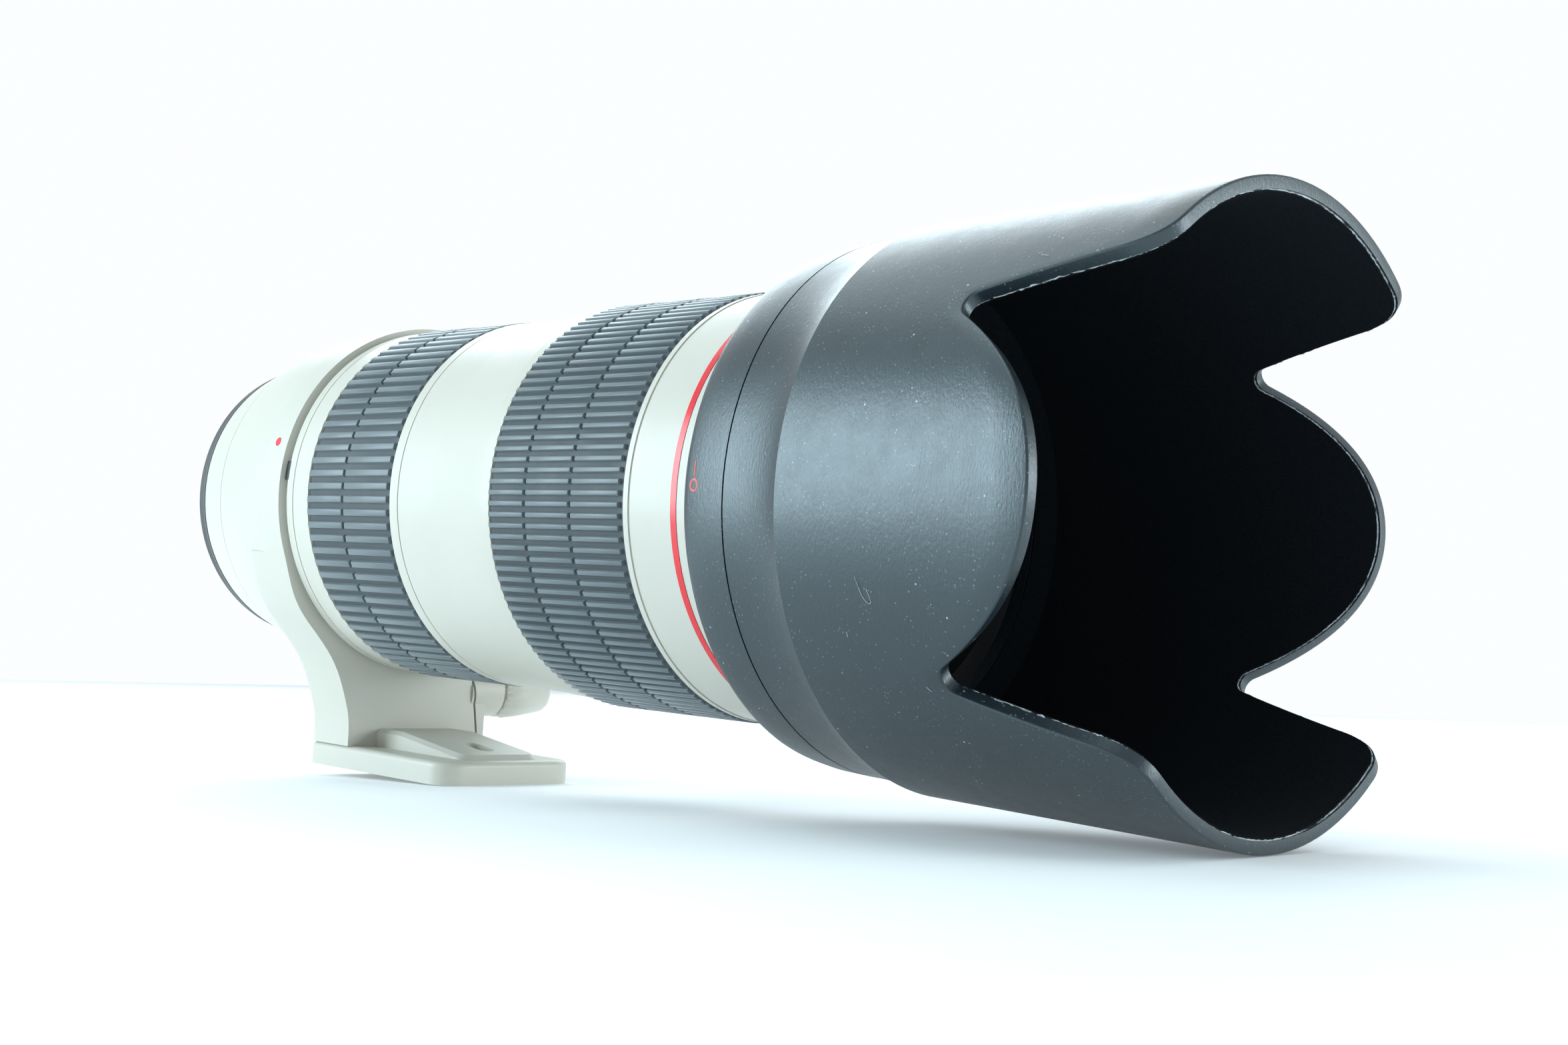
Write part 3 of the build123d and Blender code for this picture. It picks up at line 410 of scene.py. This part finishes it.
nodeFinish = {
    "white_paint": creamPaint, "grip_rubber": gripRubber, "seal_rubber": sealRubber,
    "mount_chrome": mountChrome, "steel": screwSteel, "black_plastic": blackPlastic,
    "gold_contact": goldPlate, "red_trim": redEnamel, "hood_plastic": hoodPlastic, "flock": flock,
    "glass": lensGlass, "clear_plastic": windowPane, "black_alloy": blackAlloy,
    "bare_alloy": bareAlloy, "board": boardGreen, "blade_steel": bladeSteel,
}
for entry in frame["record"]["subparts"]:
    node = frame["nodes"][entry["node"]]
    node.data.materials.clear()
    node.data.materials.append(nodeFinish[entry["material_slot"]])
print("materials made")


# ribbed rubber grips of the zoom and focus rings
grips = {
    "zoomGrip": {"node": "zoom_grip", "body": "zoom", "ribs": 89, "rows": 2, "ribHeight": 0.00075,
                 "breakWidth": 0.0007, "firstRow": 0.0145, "rootWidth": 0.0016, "topWidth": 0.00135},
    "focusGrip": {"node": "focus_grip", "body": "focus", "ribs": 123, "rows": 3, "ribHeight": 0.00075,
                  "breakWidth": 0.0007, "firstRow": 0.0118, "rootWidth": 0.00108, "topWidth": 0.0009},
}
ribShape = {"sink": 0.00012, "round": 0.00012, "frontLand": 0.0009, "taper": 0.0002, "skin": 0.001,
            "lip": 0.00025}


def addRib(size, rear, length, rFloor, rTop):
    # one rib on top of the grip, narrower and rounded at its crest, open where it is sunk in the floor
    bpy.ops.object.select_all(action="DESELECT")
    bpy.ops.mesh.primitive_cube_add(
        size=1, location=(0, -(rear + length / 2), (rFloor + rTop - ribShape["sink"]) / 2))
    rib = bpy.context.object
    rib.scale = (size["rootWidth"], length, size["ribHeight"] + ribShape["sink"])
    settle(rib)
    selectWhere(rib, "FACE", lambda face: face.normal.z > 0.9)
    narrower = size["topWidth"] / size["rootWidth"]
    bpy.ops.transform.resize(value=(narrower, 1 - ribShape["taper"] / length, 1))
    bpy.ops.mesh.bevel(offset=ribShape["round"], segments=2, affect="EDGES")
    selectWhere(rib, "FACE", lambda face: face.normal.z < -0.9)
    bpy.ops.mesh.delete(type="FACE")
    bpy.ops.object.mode_set(mode="OBJECT")
    return rib


def makeGrip(name, size):
    low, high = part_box(size["node"])
    rTop, rear, front = high.z, -high.y, -low.y
    rFloor = rTop - size["ribHeight"]
    rInner = rTop - ribShape["skin"]
    lip = ribShape["lip"]
    sleeve = turnOnLathe([
        (rInner, rear), (rFloor - lip, rear), (rFloor, rear + lip),
        (rFloor, front - lip), (rFloor - lip, front), (rInner, front),
    ], size["ribs"] * 2)
    # one column of ribs, rear to front, with a break between rows
    rows = size["rows"]
    otherRow = (front - ribShape["frontLand"] - rear - size["firstRow"]) / (rows - 1)
    column = []
    start = rear
    for row in range(rows):
        pitch = size["firstRow"] if row == 0 else otherRow
        length = pitch - size["breakWidth"] * (row < rows - 1)
        column.append(addRib(size, start, length, rFloor, rTop))
        start += pitch
    makeActive(column[0])
    for rib in column[1:]:
        rib.select_set(True)
    bpy.ops.object.join()
    ribs = bpy.context.object
    # the column is spun round the axis
    bpy.ops.object.mode_set(mode="EDIT")
    bpy.ops.mesh.select_mode(type="FACE")
    bpy.ops.mesh.select_all(action="SELECT")
    steps = size["ribs"] - 1
    bpy.ops.mesh.spin(steps=steps, dupli=True, angle=2 * pi * steps / size["ribs"],
                      center=(0, 0, 0), axis=(0, 1, 0))
    bpy.ops.mesh.select_all(action="SELECT")
    bpy.ops.mesh.normals_make_consistent(inside=False)
    bpy.ops.object.mode_set(mode="OBJECT")
    ribs.data.materials.append(gripRubber)
    # the sleeve under the ribs gets the darker floor rubber, which is painted shade between the ribs
    dress(sleeve, name, size["body"], gripFloorPaintedShade)
    makeActive(sleeve)
    ribs.select_set(True)
    bpy.ops.object.join()
    smooth(sleeve, 40)
    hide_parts(size["node"])


for name, size in grips.items():
    makeGrip(name, size)
print("grips made")


# the hood: shell, lining and marks
# sizes in metres; the outlines are (radius, station) points
hood = {
    "front": 0.2824, "frontR": 0.05405, "step": 0.2188, "stepR": 0.0523, "wall": 0.0023,
    "rear": 0.1939, "rearR": 0.0494, "tailSlope": 0.13, "rimFrom": 0.2488, "edgeRound": 0.00042,
    "rows": 8,
    "cove": [(0.05195, 0.2179), (0.0514, 0.2160), (0.05085, 0.2127), (0.05052, 0.2093), (0.05034, 0.2061)],
    "seamGroove": [(0.0503, 0.20465), (0.0500, 0.20465), (0.0500, 0.2043), (0.0503, 0.2043)],
    "tail": [(0.0500, 0.1985), (0.0495, 0.1951), (0.0493, 0.1942), (0.0489, 0.1936), (0.0482, 0.1930),
             (0.0459, 0.1902), (0.0442, 0.1892), (0.0428, 0.1892), (0.0426, 0.1894)],
    "inside": [(0.0426, 0.1994), (0.0480, 0.2014), (0.0500, 0.2188)],
}

# each stretch of a petal's edge: four (angle above the horizontal, station) points and a count
edgeStretches = [
    [(0, 0.2715), (13.46, 0.2715), (23.05, 0.2627), (31.2, 0.2509), 40],
    [(31.2, 0.2509), (32.31, 0.24935), (35.31, 0.24946), (36.2, 0.2515), 14],
    [(36.2, 0.2515), (38.57, 0.2578), (41.65, 0.2677), (43.8, 0.2752), 14],
    [(43.8, 0.2752), (45.3, 0.2796), (47.5, 0.2824), (52.5, 0.2824), 14],
]


def petalOutline():
    # (angle above the horizontal in degrees, station) along one quarter of the front edge
    points = []
    for *corners, count in edgeStretches:
        knots = [Vector((angle, station * 1000, 0)) for angle, station in corners]
        points += [(p.x, p.y / 1000) for p in interpolate_bezier(*knots, count)[:-1]]
    start = edgeStretches[-1][3][0]
    steps = 16
    points += [(start + (90 - start) * i / steps, hood["front"]) for i in range(steps + 1)]
    return points


quarter = petalOutline()
quarterAngles = np.array([angle for angle, station in quarter])
quarterStations = np.array([station for angle, station in quarter])
columnAngles = sorted(set(
    [round(a, 5) for a in quarterAngles] + [round(180 - a, 5) for a in quarterAngles]
    + [round(180 + a, 5) for a in quarterAngles] + [round((360 - a) % 360, 5) for a in quarterAngles]))


def edgeStation(x, z, back=0.0):
    # station of the petals' edge in the direction of (x, z)
    angle = abs(np.degrees(np.arctan2(z, abs(x))))
    return float(np.interp(angle, quarterAngles, quarterStations)) - back


def hoodR(station, inset=0.0):
    # radius of the cone in front of the step
    rise = (hood["frontR"] - hood["stepR"]) / (hood["front"] - hood["step"])
    return hood["stepR"] + rise * (station - hood["step"]) - inset


def placeColumns(ring, r, station):
    # spreads the ring's vertices so that they crowd where the petal edge turns
    bpy.ops.object.mode_set(mode="OBJECT")
    for vertex, angle in zip(ring.data.vertices, columnAngles):
        vertex.co = (-r * cos(radians(angle)), -station, r * sin(radians(angle)))
    bpy.ops.object.mode_set(mode="EDIT")


def towardsEdge(piece, startStation, share, inset, back=0.0):
    # moves the newest ring to its share of the way from startStation to the petals' edge
    bpy.ops.object.mode_set(mode="OBJECT")
    for vertex in piece.data.vertices:
        if vertex.select:
            station = startStation + share * (edgeStation(vertex.co.x, vertex.co.z, back) - startStation)
            angle = atan2(vertex.co.z, vertex.co.x)
            r = hoodR(station, inset)
            vertex.co = (r * cos(angle), -station, r * sin(angle))
    bpy.ops.object.mode_set(mode="EDIT")


def atStep(point):
    # on the outer edge of the hood's step
    onStep = abs(-point.y - hood["step"]) < touching
    return onStep and (point.x ** 2 + point.z ** 2) ** 0.5 > hood["stepR"] - hood["edgeRound"]


def onRim(vertex):
    # on the petals' edge, outside or inside the wall
    station = -vertex.co.y
    return (abs(station - edgeStation(vertex.co.x, vertex.co.z)) < touching
            and station > hood["rimFrom"])


def rimOf(shell):
    return {vertex.index for vertex in shell.data.vertices if onRim(vertex)}


def makeHood():
    route = [(hood["stepR"], hood["step"])]
    route += hood["cove"] + hood["seamGroove"] + hood["tail"] + hood["inside"]
    shell = startRing(*route[0], len(columnAngles))
    placeColumns(shell, *route[0])
    extrudeAlong(route)
    rowTops = [(i + 1) / hood["rows"] for i in range(hood["rows"])]
    for share in rowTops:                       # inner wall, forward to the edge
        nextRing(1, hood["step"], 1, hood["step"])
        towardsEdge(shell, hood["step"], share, hood["wall"])
    bpy.ops.object.mode_set(mode="OBJECT")
    selectWhere(shell, "VERT", lambda vertex: atStep(vertex.co))
    for share in rowTops:                       # outer wall, forward to the edge
        nextRing(1, hood["step"], 1, hood["step"])
        towardsEdge(shell, hood["step"], share, 0)
    # the two walls are joined round the rim
    bpy.ops.object.mode_set(mode="OBJECT")
    rim = rimOf(shell)
    selectWhere(shell, "EDGE", lambda edge: edge.vertices[0] in rim and edge.vertices[1] in rim)
    bpy.ops.mesh.bridge_edge_loops()
    bpy.ops.object.mode_set(mode="OBJECT")
    outward(shell)
    # the rim's outer edge is rounded
    outerRim = set()
    for i in rimOf(shell):
        x, y, z = shell.data.vertices[i].co
        if (x ** 2 + z ** 2) ** 0.5 > hoodR(-y) - hood["edgeRound"]:
            outerRim.add(i)
    selectWhere(shell, "EDGE", lambda edge: edge.vertices[0] in outerRim and edge.vertices[1] in outerRim)
    bpy.ops.mesh.bevel(offset=hood["edgeRound"], segments=3, affect="EDGES", clamp_overlap=False)
    bpy.ops.object.mode_set(mode="OBJECT")
    selectWhere(shell, "EDGE", lambda edge: all(atStep(end) for end in edgeEnds(shell, edge)))
    bpy.ops.mesh.mark_sharp()
    bpy.ops.object.mode_set(mode="OBJECT")
    smooth(shell, 38)
    dress(shell, "hoodShell", "hood", hoodPlastic)
    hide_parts("hood_shell")


lining = {
    "inset": 0.00232, "thick": 0.00042, "back": 0.00055, "lintR": 0.00018, "lintSpread": 0.00018,
    "mouth": [(0.0427, 0.1995), (0.0479, 0.2015), (0.04998, 0.2188)],
}


def makeLining():
    # thin flocked skin over the whole inside, a little short of the edge
    mouth = lining["mouth"]
    skin = startRing(*mouth[0], len(columnAngles))
    placeColumns(skin, *mouth[0])
    extrudeAlong(mouth)
    for i in range(hood["rows"]):
        nextRing(1, hood["step"], 1, hood["step"])
        towardsEdge(skin, hood["step"], (i + 1) / hood["rows"], lining["inset"], lining["back"])
    bpy.ops.object.mode_set(mode="OBJECT")
    makeLint(skin)
    outward(skin)
    solid = skin.modifiers.new("thickness", "SOLIDIFY")
    solid.thickness = lining["thick"]
    solid.offset = -1
    applyAll(skin)
    outward(skin)
    smooth(skin, 40)
    dress(skin, "hoodLining", "hood", flock)
    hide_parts("hood_liner")


def makeLint(skin):
    # frayed fibres where the lining ends along the petals' edge
    makeActive(skin)
    bpy.ops.object.duplicate()
    fray = bpy.context.object

    def offEdge(edge):
        return not all(abs(-end.y - edgeStation(end.x, end.z, lining["back"])) < touching
                       for end in edgeEnds(fray, edge))

    selectWhere(fray, "EDGE", offEdge)
    bpy.ops.mesh.delete(type="EDGE_FACE")
    bpy.ops.mesh.select_all(action="SELECT")
    bpy.ops.mesh.subdivide(number_cuts=2)
    bpy.ops.transform.vertex_random(offset=lining["lintSpread"], seed=11)
    bpy.ops.object.mode_set(mode="OBJECT")
    makeActive(fray)
    bpy.ops.object.convert(target="CURVE")
    fray.data.bevel_depth = lining["lintR"]
    fray.data.bevel_resolution = 1
    makeActive(fray)
    bpy.ops.object.convert(target="MESH")
    settle(fray)
    outward(fray)
    smooth(fray, 60)
    dress(fray, "liningFray", "hood", lintMaterial)


def addTube(name, points, r, body, material):
    # a thin round thread through the points
    curve = bpy.data.curves.new(name, "CURVE")
    curve.dimensions = "3D"
    curve.bevel_depth = r
    curve.bevel_resolution = 1
    curve.resolution_u = 6
    spline = curve.splines.new("BEZIER")
    spline.bezier_points.add(len(points) - 1)
    for knot, point in zip(spline.bezier_points, points):
        knot.co = point
        knot.handle_left_type = "AUTO"
        knot.handle_right_type = "AUTO"
    thread = bpy.data.objects.new(name, curve)
    bpy.context.scene.collection.objects.link(thread)
    makeActive(thread)
    bpy.ops.object.convert(target="MESH")
    thread = bpy.context.object
    outward(thread)
    smooth(thread, 60)
    dress(thread, name, body, material)


def onHood(angle, station, lift=0.0):
    # a point on the hood's side, angle above the horizontal on the right side
    if station < hood["tail"][0][1]:
        r = hood["rearR"] + (station - hood["rear"]) * hood["tailSlope"]
    else:
        r = hoodR(station)
    return (-(r + lift) * cos(radians(angle)), -station, (r + lift) * sin(radians(angle)))


hoodMark = {"station": 0.1966, "ringR": 0.0010, "ringWidth": 0.00042, "ringAngle": 0.4, "ringSink": 0.00005,
            "flatness": 0.6, "lineFrom": 2.2, "lineTo": 5.2, "lineWidth": 0.00034, "lineSink": 0.00009,
            "lineSteps": 5, "slope": 7.5}


def makeHoodMarks():
    mark = hoodMark
    deselectAll()
    bpy.ops.mesh.primitive_torus_add(
        location=onHood(mark["ringAngle"], mark["station"], -mark["ringSink"]), rotation=(0, pi / 2, 0),
        major_radius=mark["ringR"], minor_radius=mark["ringWidth"] / 2, major_segments=36, minor_segments=6)
    ring = bpy.context.object
    ring.scale = (1, 1, mark["flatness"])
    bpy.ops.transform.rotate(value=radians(mark["slope"]), orient_axis="Z", center_override=ring.location)
    settle(ring)
    smooth(ring, 60)
    dress(ring, "hoodMarkRing", "hood", markPaint)
    steps = mark["lineSteps"]
    points = []
    for i in range(steps + 1):
        angle = mark["lineFrom"] + (mark["lineTo"] - mark["lineFrom"]) * i / steps
        points.append(onHood(angle, mark["station"], -mark["lineSink"]))
    addTube("hoodMarkLine", points, mark["lineWidth"] / 2, "hood", markPaint)


# stray fibres stuck to the hood: (angle, station) points
fibres = {
    "fibreA": [(-15.6, 0.2364), (-17.4, 0.2371), (-19.3, 0.2377), (-20.0, 0.2392), (-19.5, 0.2391),
               (-17.6, 0.2387)],
    "fibreB": [(-35.3, 0.2461), (-35.6, 0.2466), (-36.2, 0.2470)],
    "fibreC": [(44.9, 0.2588), (43.8, 0.2603), (43.5, 0.2616)],
    "fibreD": [(-25.8, 0.2323), (-26.7, 0.2324)],
}
fibreSize = {"r": 0.000035, "low": 0.00004, "high": 0.00016}


def makeFibres():
    for name, route in fibres.items():
        points = []
        for i, (angle, station) in enumerate(route):
            lift = fibreSize["high"] if i % 2 else fibreSize["low"]
            points.append(onHood(angle, station, lift))
        addTube(name, points, fibreSize["r"], "hood", lintMaterial)


makeHood()
makeLining()
makeHoodMarks()
makeFibres()
print("hood made")


# the knob that clamps the collar
knob = {"place": (-0.044, -0.0455), "rodR": 0.00198, "rodFrom": 0.0041, "inner": 0.0262, "waves": 14,
        "wave": 0.00045, "waveR": 0.004, "waveReach": 0.012, "waveFlat": 0.0022, "waveFade": 0.006,
        "outline": [(0.00198, 0.0262), (0.0060, 0.0262), (0.0065, 0.0266), (0.0065, 0.0284),
                    (0.00685, 0.0292), (0.0064, 0.0337), (0.0053, 0.0401), (0.0049, 0.0411),
                    (0.0041, 0.0417), (0.0029, 0.0419)]}


def makeKnob():
    # the rod and the knob in one, from the stem outwards; the outline is (radius, x) points
    along, height = knob["place"]
    deselectAll()
    bpy.ops.mesh.primitive_circle_add(vertices=knob["waves"] * 8, radius=knob["rodR"],
                                      location=(knob["rodFrom"], along, height), rotation=(0, pi / 2, 0))
    piece = bpy.context.object
    settle(piece)
    bpy.ops.object.mode_set(mode="EDIT")
    bpy.ops.mesh.select_mode(type="VERT")
    bpy.ops.mesh.select_all(action="SELECT")
    bpy.ops.mesh.edge_face_add()
    rFrom, xFrom = knob["rodR"], knob["rodFrom"]
    for r, x in knob["outline"]:
        bpy.ops.mesh.extrude_region_move(TRANSFORM_OT_translate={"value": (x - xFrom, 0, 0)})
        grow = r / rFrom
        bpy.ops.transform.resize(value=(1, grow, grow), center_override=(x, along, height))
        rFrom, xFrom = r, x
    bpy.ops.object.mode_set(mode="OBJECT")
    for vertex in piece.data.vertices:          # finger waves that fade out towards the tip
        reach = vertex.co.x - knob["inner"]
        y, z = vertex.co.y - along, vertex.co.z - height
        r = (y * y + z * z) ** 0.5
        if r > knob["waveR"] and -1e-6 < reach < knob["waveReach"]:
            fade = max(0.0, 1 - max(reach - knob["waveFlat"], 0) / knob["waveFade"])
            wave = 0.5 + 0.5 * cos(knob["waves"] * atan2(z, y))
            grow = 1 - knob["wave"] * fade * wave / r
            vertex.co.y = along + y * grow
            vertex.co.z = height + z * grow
    outward(piece)
    smooth(piece, 50)
    dress(piece, "clampKnob", "clamp", creamPaint)
    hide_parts("clamp_knob")


makeKnob()


# index mark and dark tail band on the barrel
indexMark = {"r": 0.04102, "sink": 0.0002, "rear": 0.05, "front": 0.0514, "from": 3.2, "to": 9.4,
             "proud": 0.00004, "sides": 360}


def makeIndexMark():
    # a short arc cut from a whole ring
    mark = indexMark
    low, high = mark["r"] - mark["sink"], mark["r"] + mark["proud"]
    strip = startRing(low, mark["rear"], mark["sides"])
    extrudeAlong([(low, mark["rear"]), (high, mark["rear"]), (high, mark["front"]), (low, mark["front"])])
    bpy.ops.object.mode_set(mode="OBJECT")

    def outside(face):
        angle = np.degrees(np.arctan2(face.center.z, -face.center.x))
        return not mark["from"] < angle < mark["to"]

    selectWhere(strip, "FACE", outside)
    bpy.ops.mesh.delete(type="FACE")
    bpy.ops.mesh.select_mode(type="EDGE")
    bpy.ops.mesh.select_all(action="DESELECT")
    bpy.ops.mesh.select_non_manifold()
    bpy.ops.mesh.fill()
    bpy.ops.object.mode_set(mode="OBJECT")
    outward(strip)
    smooth(strip, 30)
    dress(strip, "indexMark", "barrel", blackPlastic)


# outline of the dark band round the tail, beside the rubber seal: (radius, station) points
rearBand = {
    "outline": [(0.03465, 0.0026), (0.03489, 0.00262), (0.03526, 0.00385), (0.03524, 0.00395),
                (0.0350, 0.00397)],
    "sides": 180,
}


def makeRearBand():
    band = turnOnLathe(rearBand["outline"], rearBand["sides"])
    smooth(band, 40)
    dress(band, "rearBand", "barrel", sealRubber)


makeIndexMark()
makeRearBand()
print("small pieces made")


# camera, floor and light
view = {"place": (-0.27829, -0.44477, -0.01959), "turn": (92.4639, -3.6286, -45.5071), "lens": 45.02,
        "sensor": 36, "near": 0.01}
camera = bpy.data.objects.new("camera", bpy.data.cameras.new("camera"))
bpy.context.scene.collection.objects.link(camera)
camera.location = view["place"]
camera.rotation_euler = [radians(angle) for angle in view["turn"]]
camera.data.sensor_fit = "HORIZONTAL"
camera.data.sensor_width = view["sensor"]
camera.data.lens = view["lens"]
camera.data.clip_start = view["near"]
bpy.context.scene.camera = camera

floorPlace = {"under": (0, -0.088, -0.064), "tilt": 2.9, "size": 3.4, "glow": (0.88, 0.96, 1.0),
              "glowStrength": 0.14}


def makeFloor():
    deselectAll()
    bpy.ops.mesh.primitive_plane_add(size=floorPlace["size"], location=floorPlace["under"],
                                     rotation=(radians(-floorPlace["tilt"]), 0, 0))
    floor = bpy.context.object
    floor.name = "floor"
    material, nodes, links, shader, place = newMaterial("floor_white")
    shade = noiseNode(nodes, links, place, scale=3, detail=2)
    tint = rampNode(nodes, links, shade.outputs["Fac"],
                    [(0.3, (0.86, 0.89, 0.91)), (0.7, (0.88, 0.91, 0.93))])
    links.new(tint.outputs["Color"], shader.inputs["Base Color"])
    shader.inputs["Roughness"].default_value = 0.7
    shader.inputs["Specular IOR Level"].default_value = 0.2
    shader.inputs["Emission Color"].default_value = (*floorPlace["glow"], 1)
    shader.inputs["Emission Strength"].default_value = floorPlace["glowStrength"]
    floor.data.materials.append(material)


# a studio that is white on one side and dimmer towards the camera's right
studio = {
    "brightSide": (0.70, 0.69, 0.17), "darkest": -1.0, "brightest": 0.86,
    "shades": [(0.0, (0.55, 0.62, 0.65)), (0.45, (0.44, 0.51, 0.54)), (0.8, (0.66, 0.76, 0.80)),
               (1.0, (0.97, 0.99, 1.0))],
}


def makeWorld():
    world = bpy.data.worlds.new("studio")
    bpy.context.scene.world = world
    world.use_nodes = True
    nodes, links = world.node_tree.nodes, world.node_tree.links
    direction = nodes.new("ShaderNodeTexCoord")
    dot = nodes.new("ShaderNodeVectorMath")
    dot.operation = "DOT_PRODUCT"
    dot.inputs[1].default_value = studio["brightSide"]
    links.new(direction.outputs["Generated"], dot.inputs[0])
    spread = nodes.new("ShaderNodeMapRange")
    spread.inputs["From Min"].default_value = studio["darkest"]
    spread.inputs["From Max"].default_value = studio["brightest"]
    links.new(dot.outputs["Value"], spread.inputs["Value"])
    tint = rampNode(nodes, links, spread.outputs["Result"], studio["shades"])
    links.new(tint.outputs["Color"], nodes["Background"].inputs["Color"])
    nodes["Background"].inputs["Strength"].default_value = 1.0


softboxes = {
    "sideSoftbox": {"place": (-0.82, 0.55, 0.24), "aim": (0, -0.15, 0), "size": (0.55, 0.66), "power": 9.8,
                    "colour": (0.74, 0.92, 1.0)},
    "frontSoftbox": {"place": (0.75, -1.25, 0.16), "aim": (0, -0.2, 0), "size": (0.8, 0.6), "power": 9.5,
                     "colour": (0.86, 0.97, 1.0)},
    "topSoftbox": {"place": (-0.25, 0.15, 1.1), "aim": (0, -0.15, 0), "size": (1.0, 0.8), "power": 4,
                   "colour": (0.80, 0.95, 1.0)},
    "rearSoftbox": {"place": (1.0, 0.85, 0.86), "aim": (0, -0.2, 0), "size": (1.6, 0.55), "power": 16,
                    "colour": (0.80, 0.95, 1.0)},
}


def addSoftbox(name, setting):
    light = bpy.data.lights.new(name, "AREA")
    light.shape = "RECTANGLE"
    light.size, light.size_y = setting["size"]
    light.energy = setting["power"]
    light.color = setting["colour"]
    box = bpy.data.objects.new(name, light)
    bpy.context.scene.collection.objects.link(box)
    box.location = setting["place"]
    towards = Vector(setting["aim"]) - Vector(setting["place"])
    box.rotation_euler = towards.to_track_quat("-Z", "Y").to_euler()


makeFloor()
makeWorld()
for name, setting in softboxes.items():
    addSoftbox(name, setting)
bpy.context.scene.view_settings.view_transform = "Standard"
print("camera, floor and lights made")
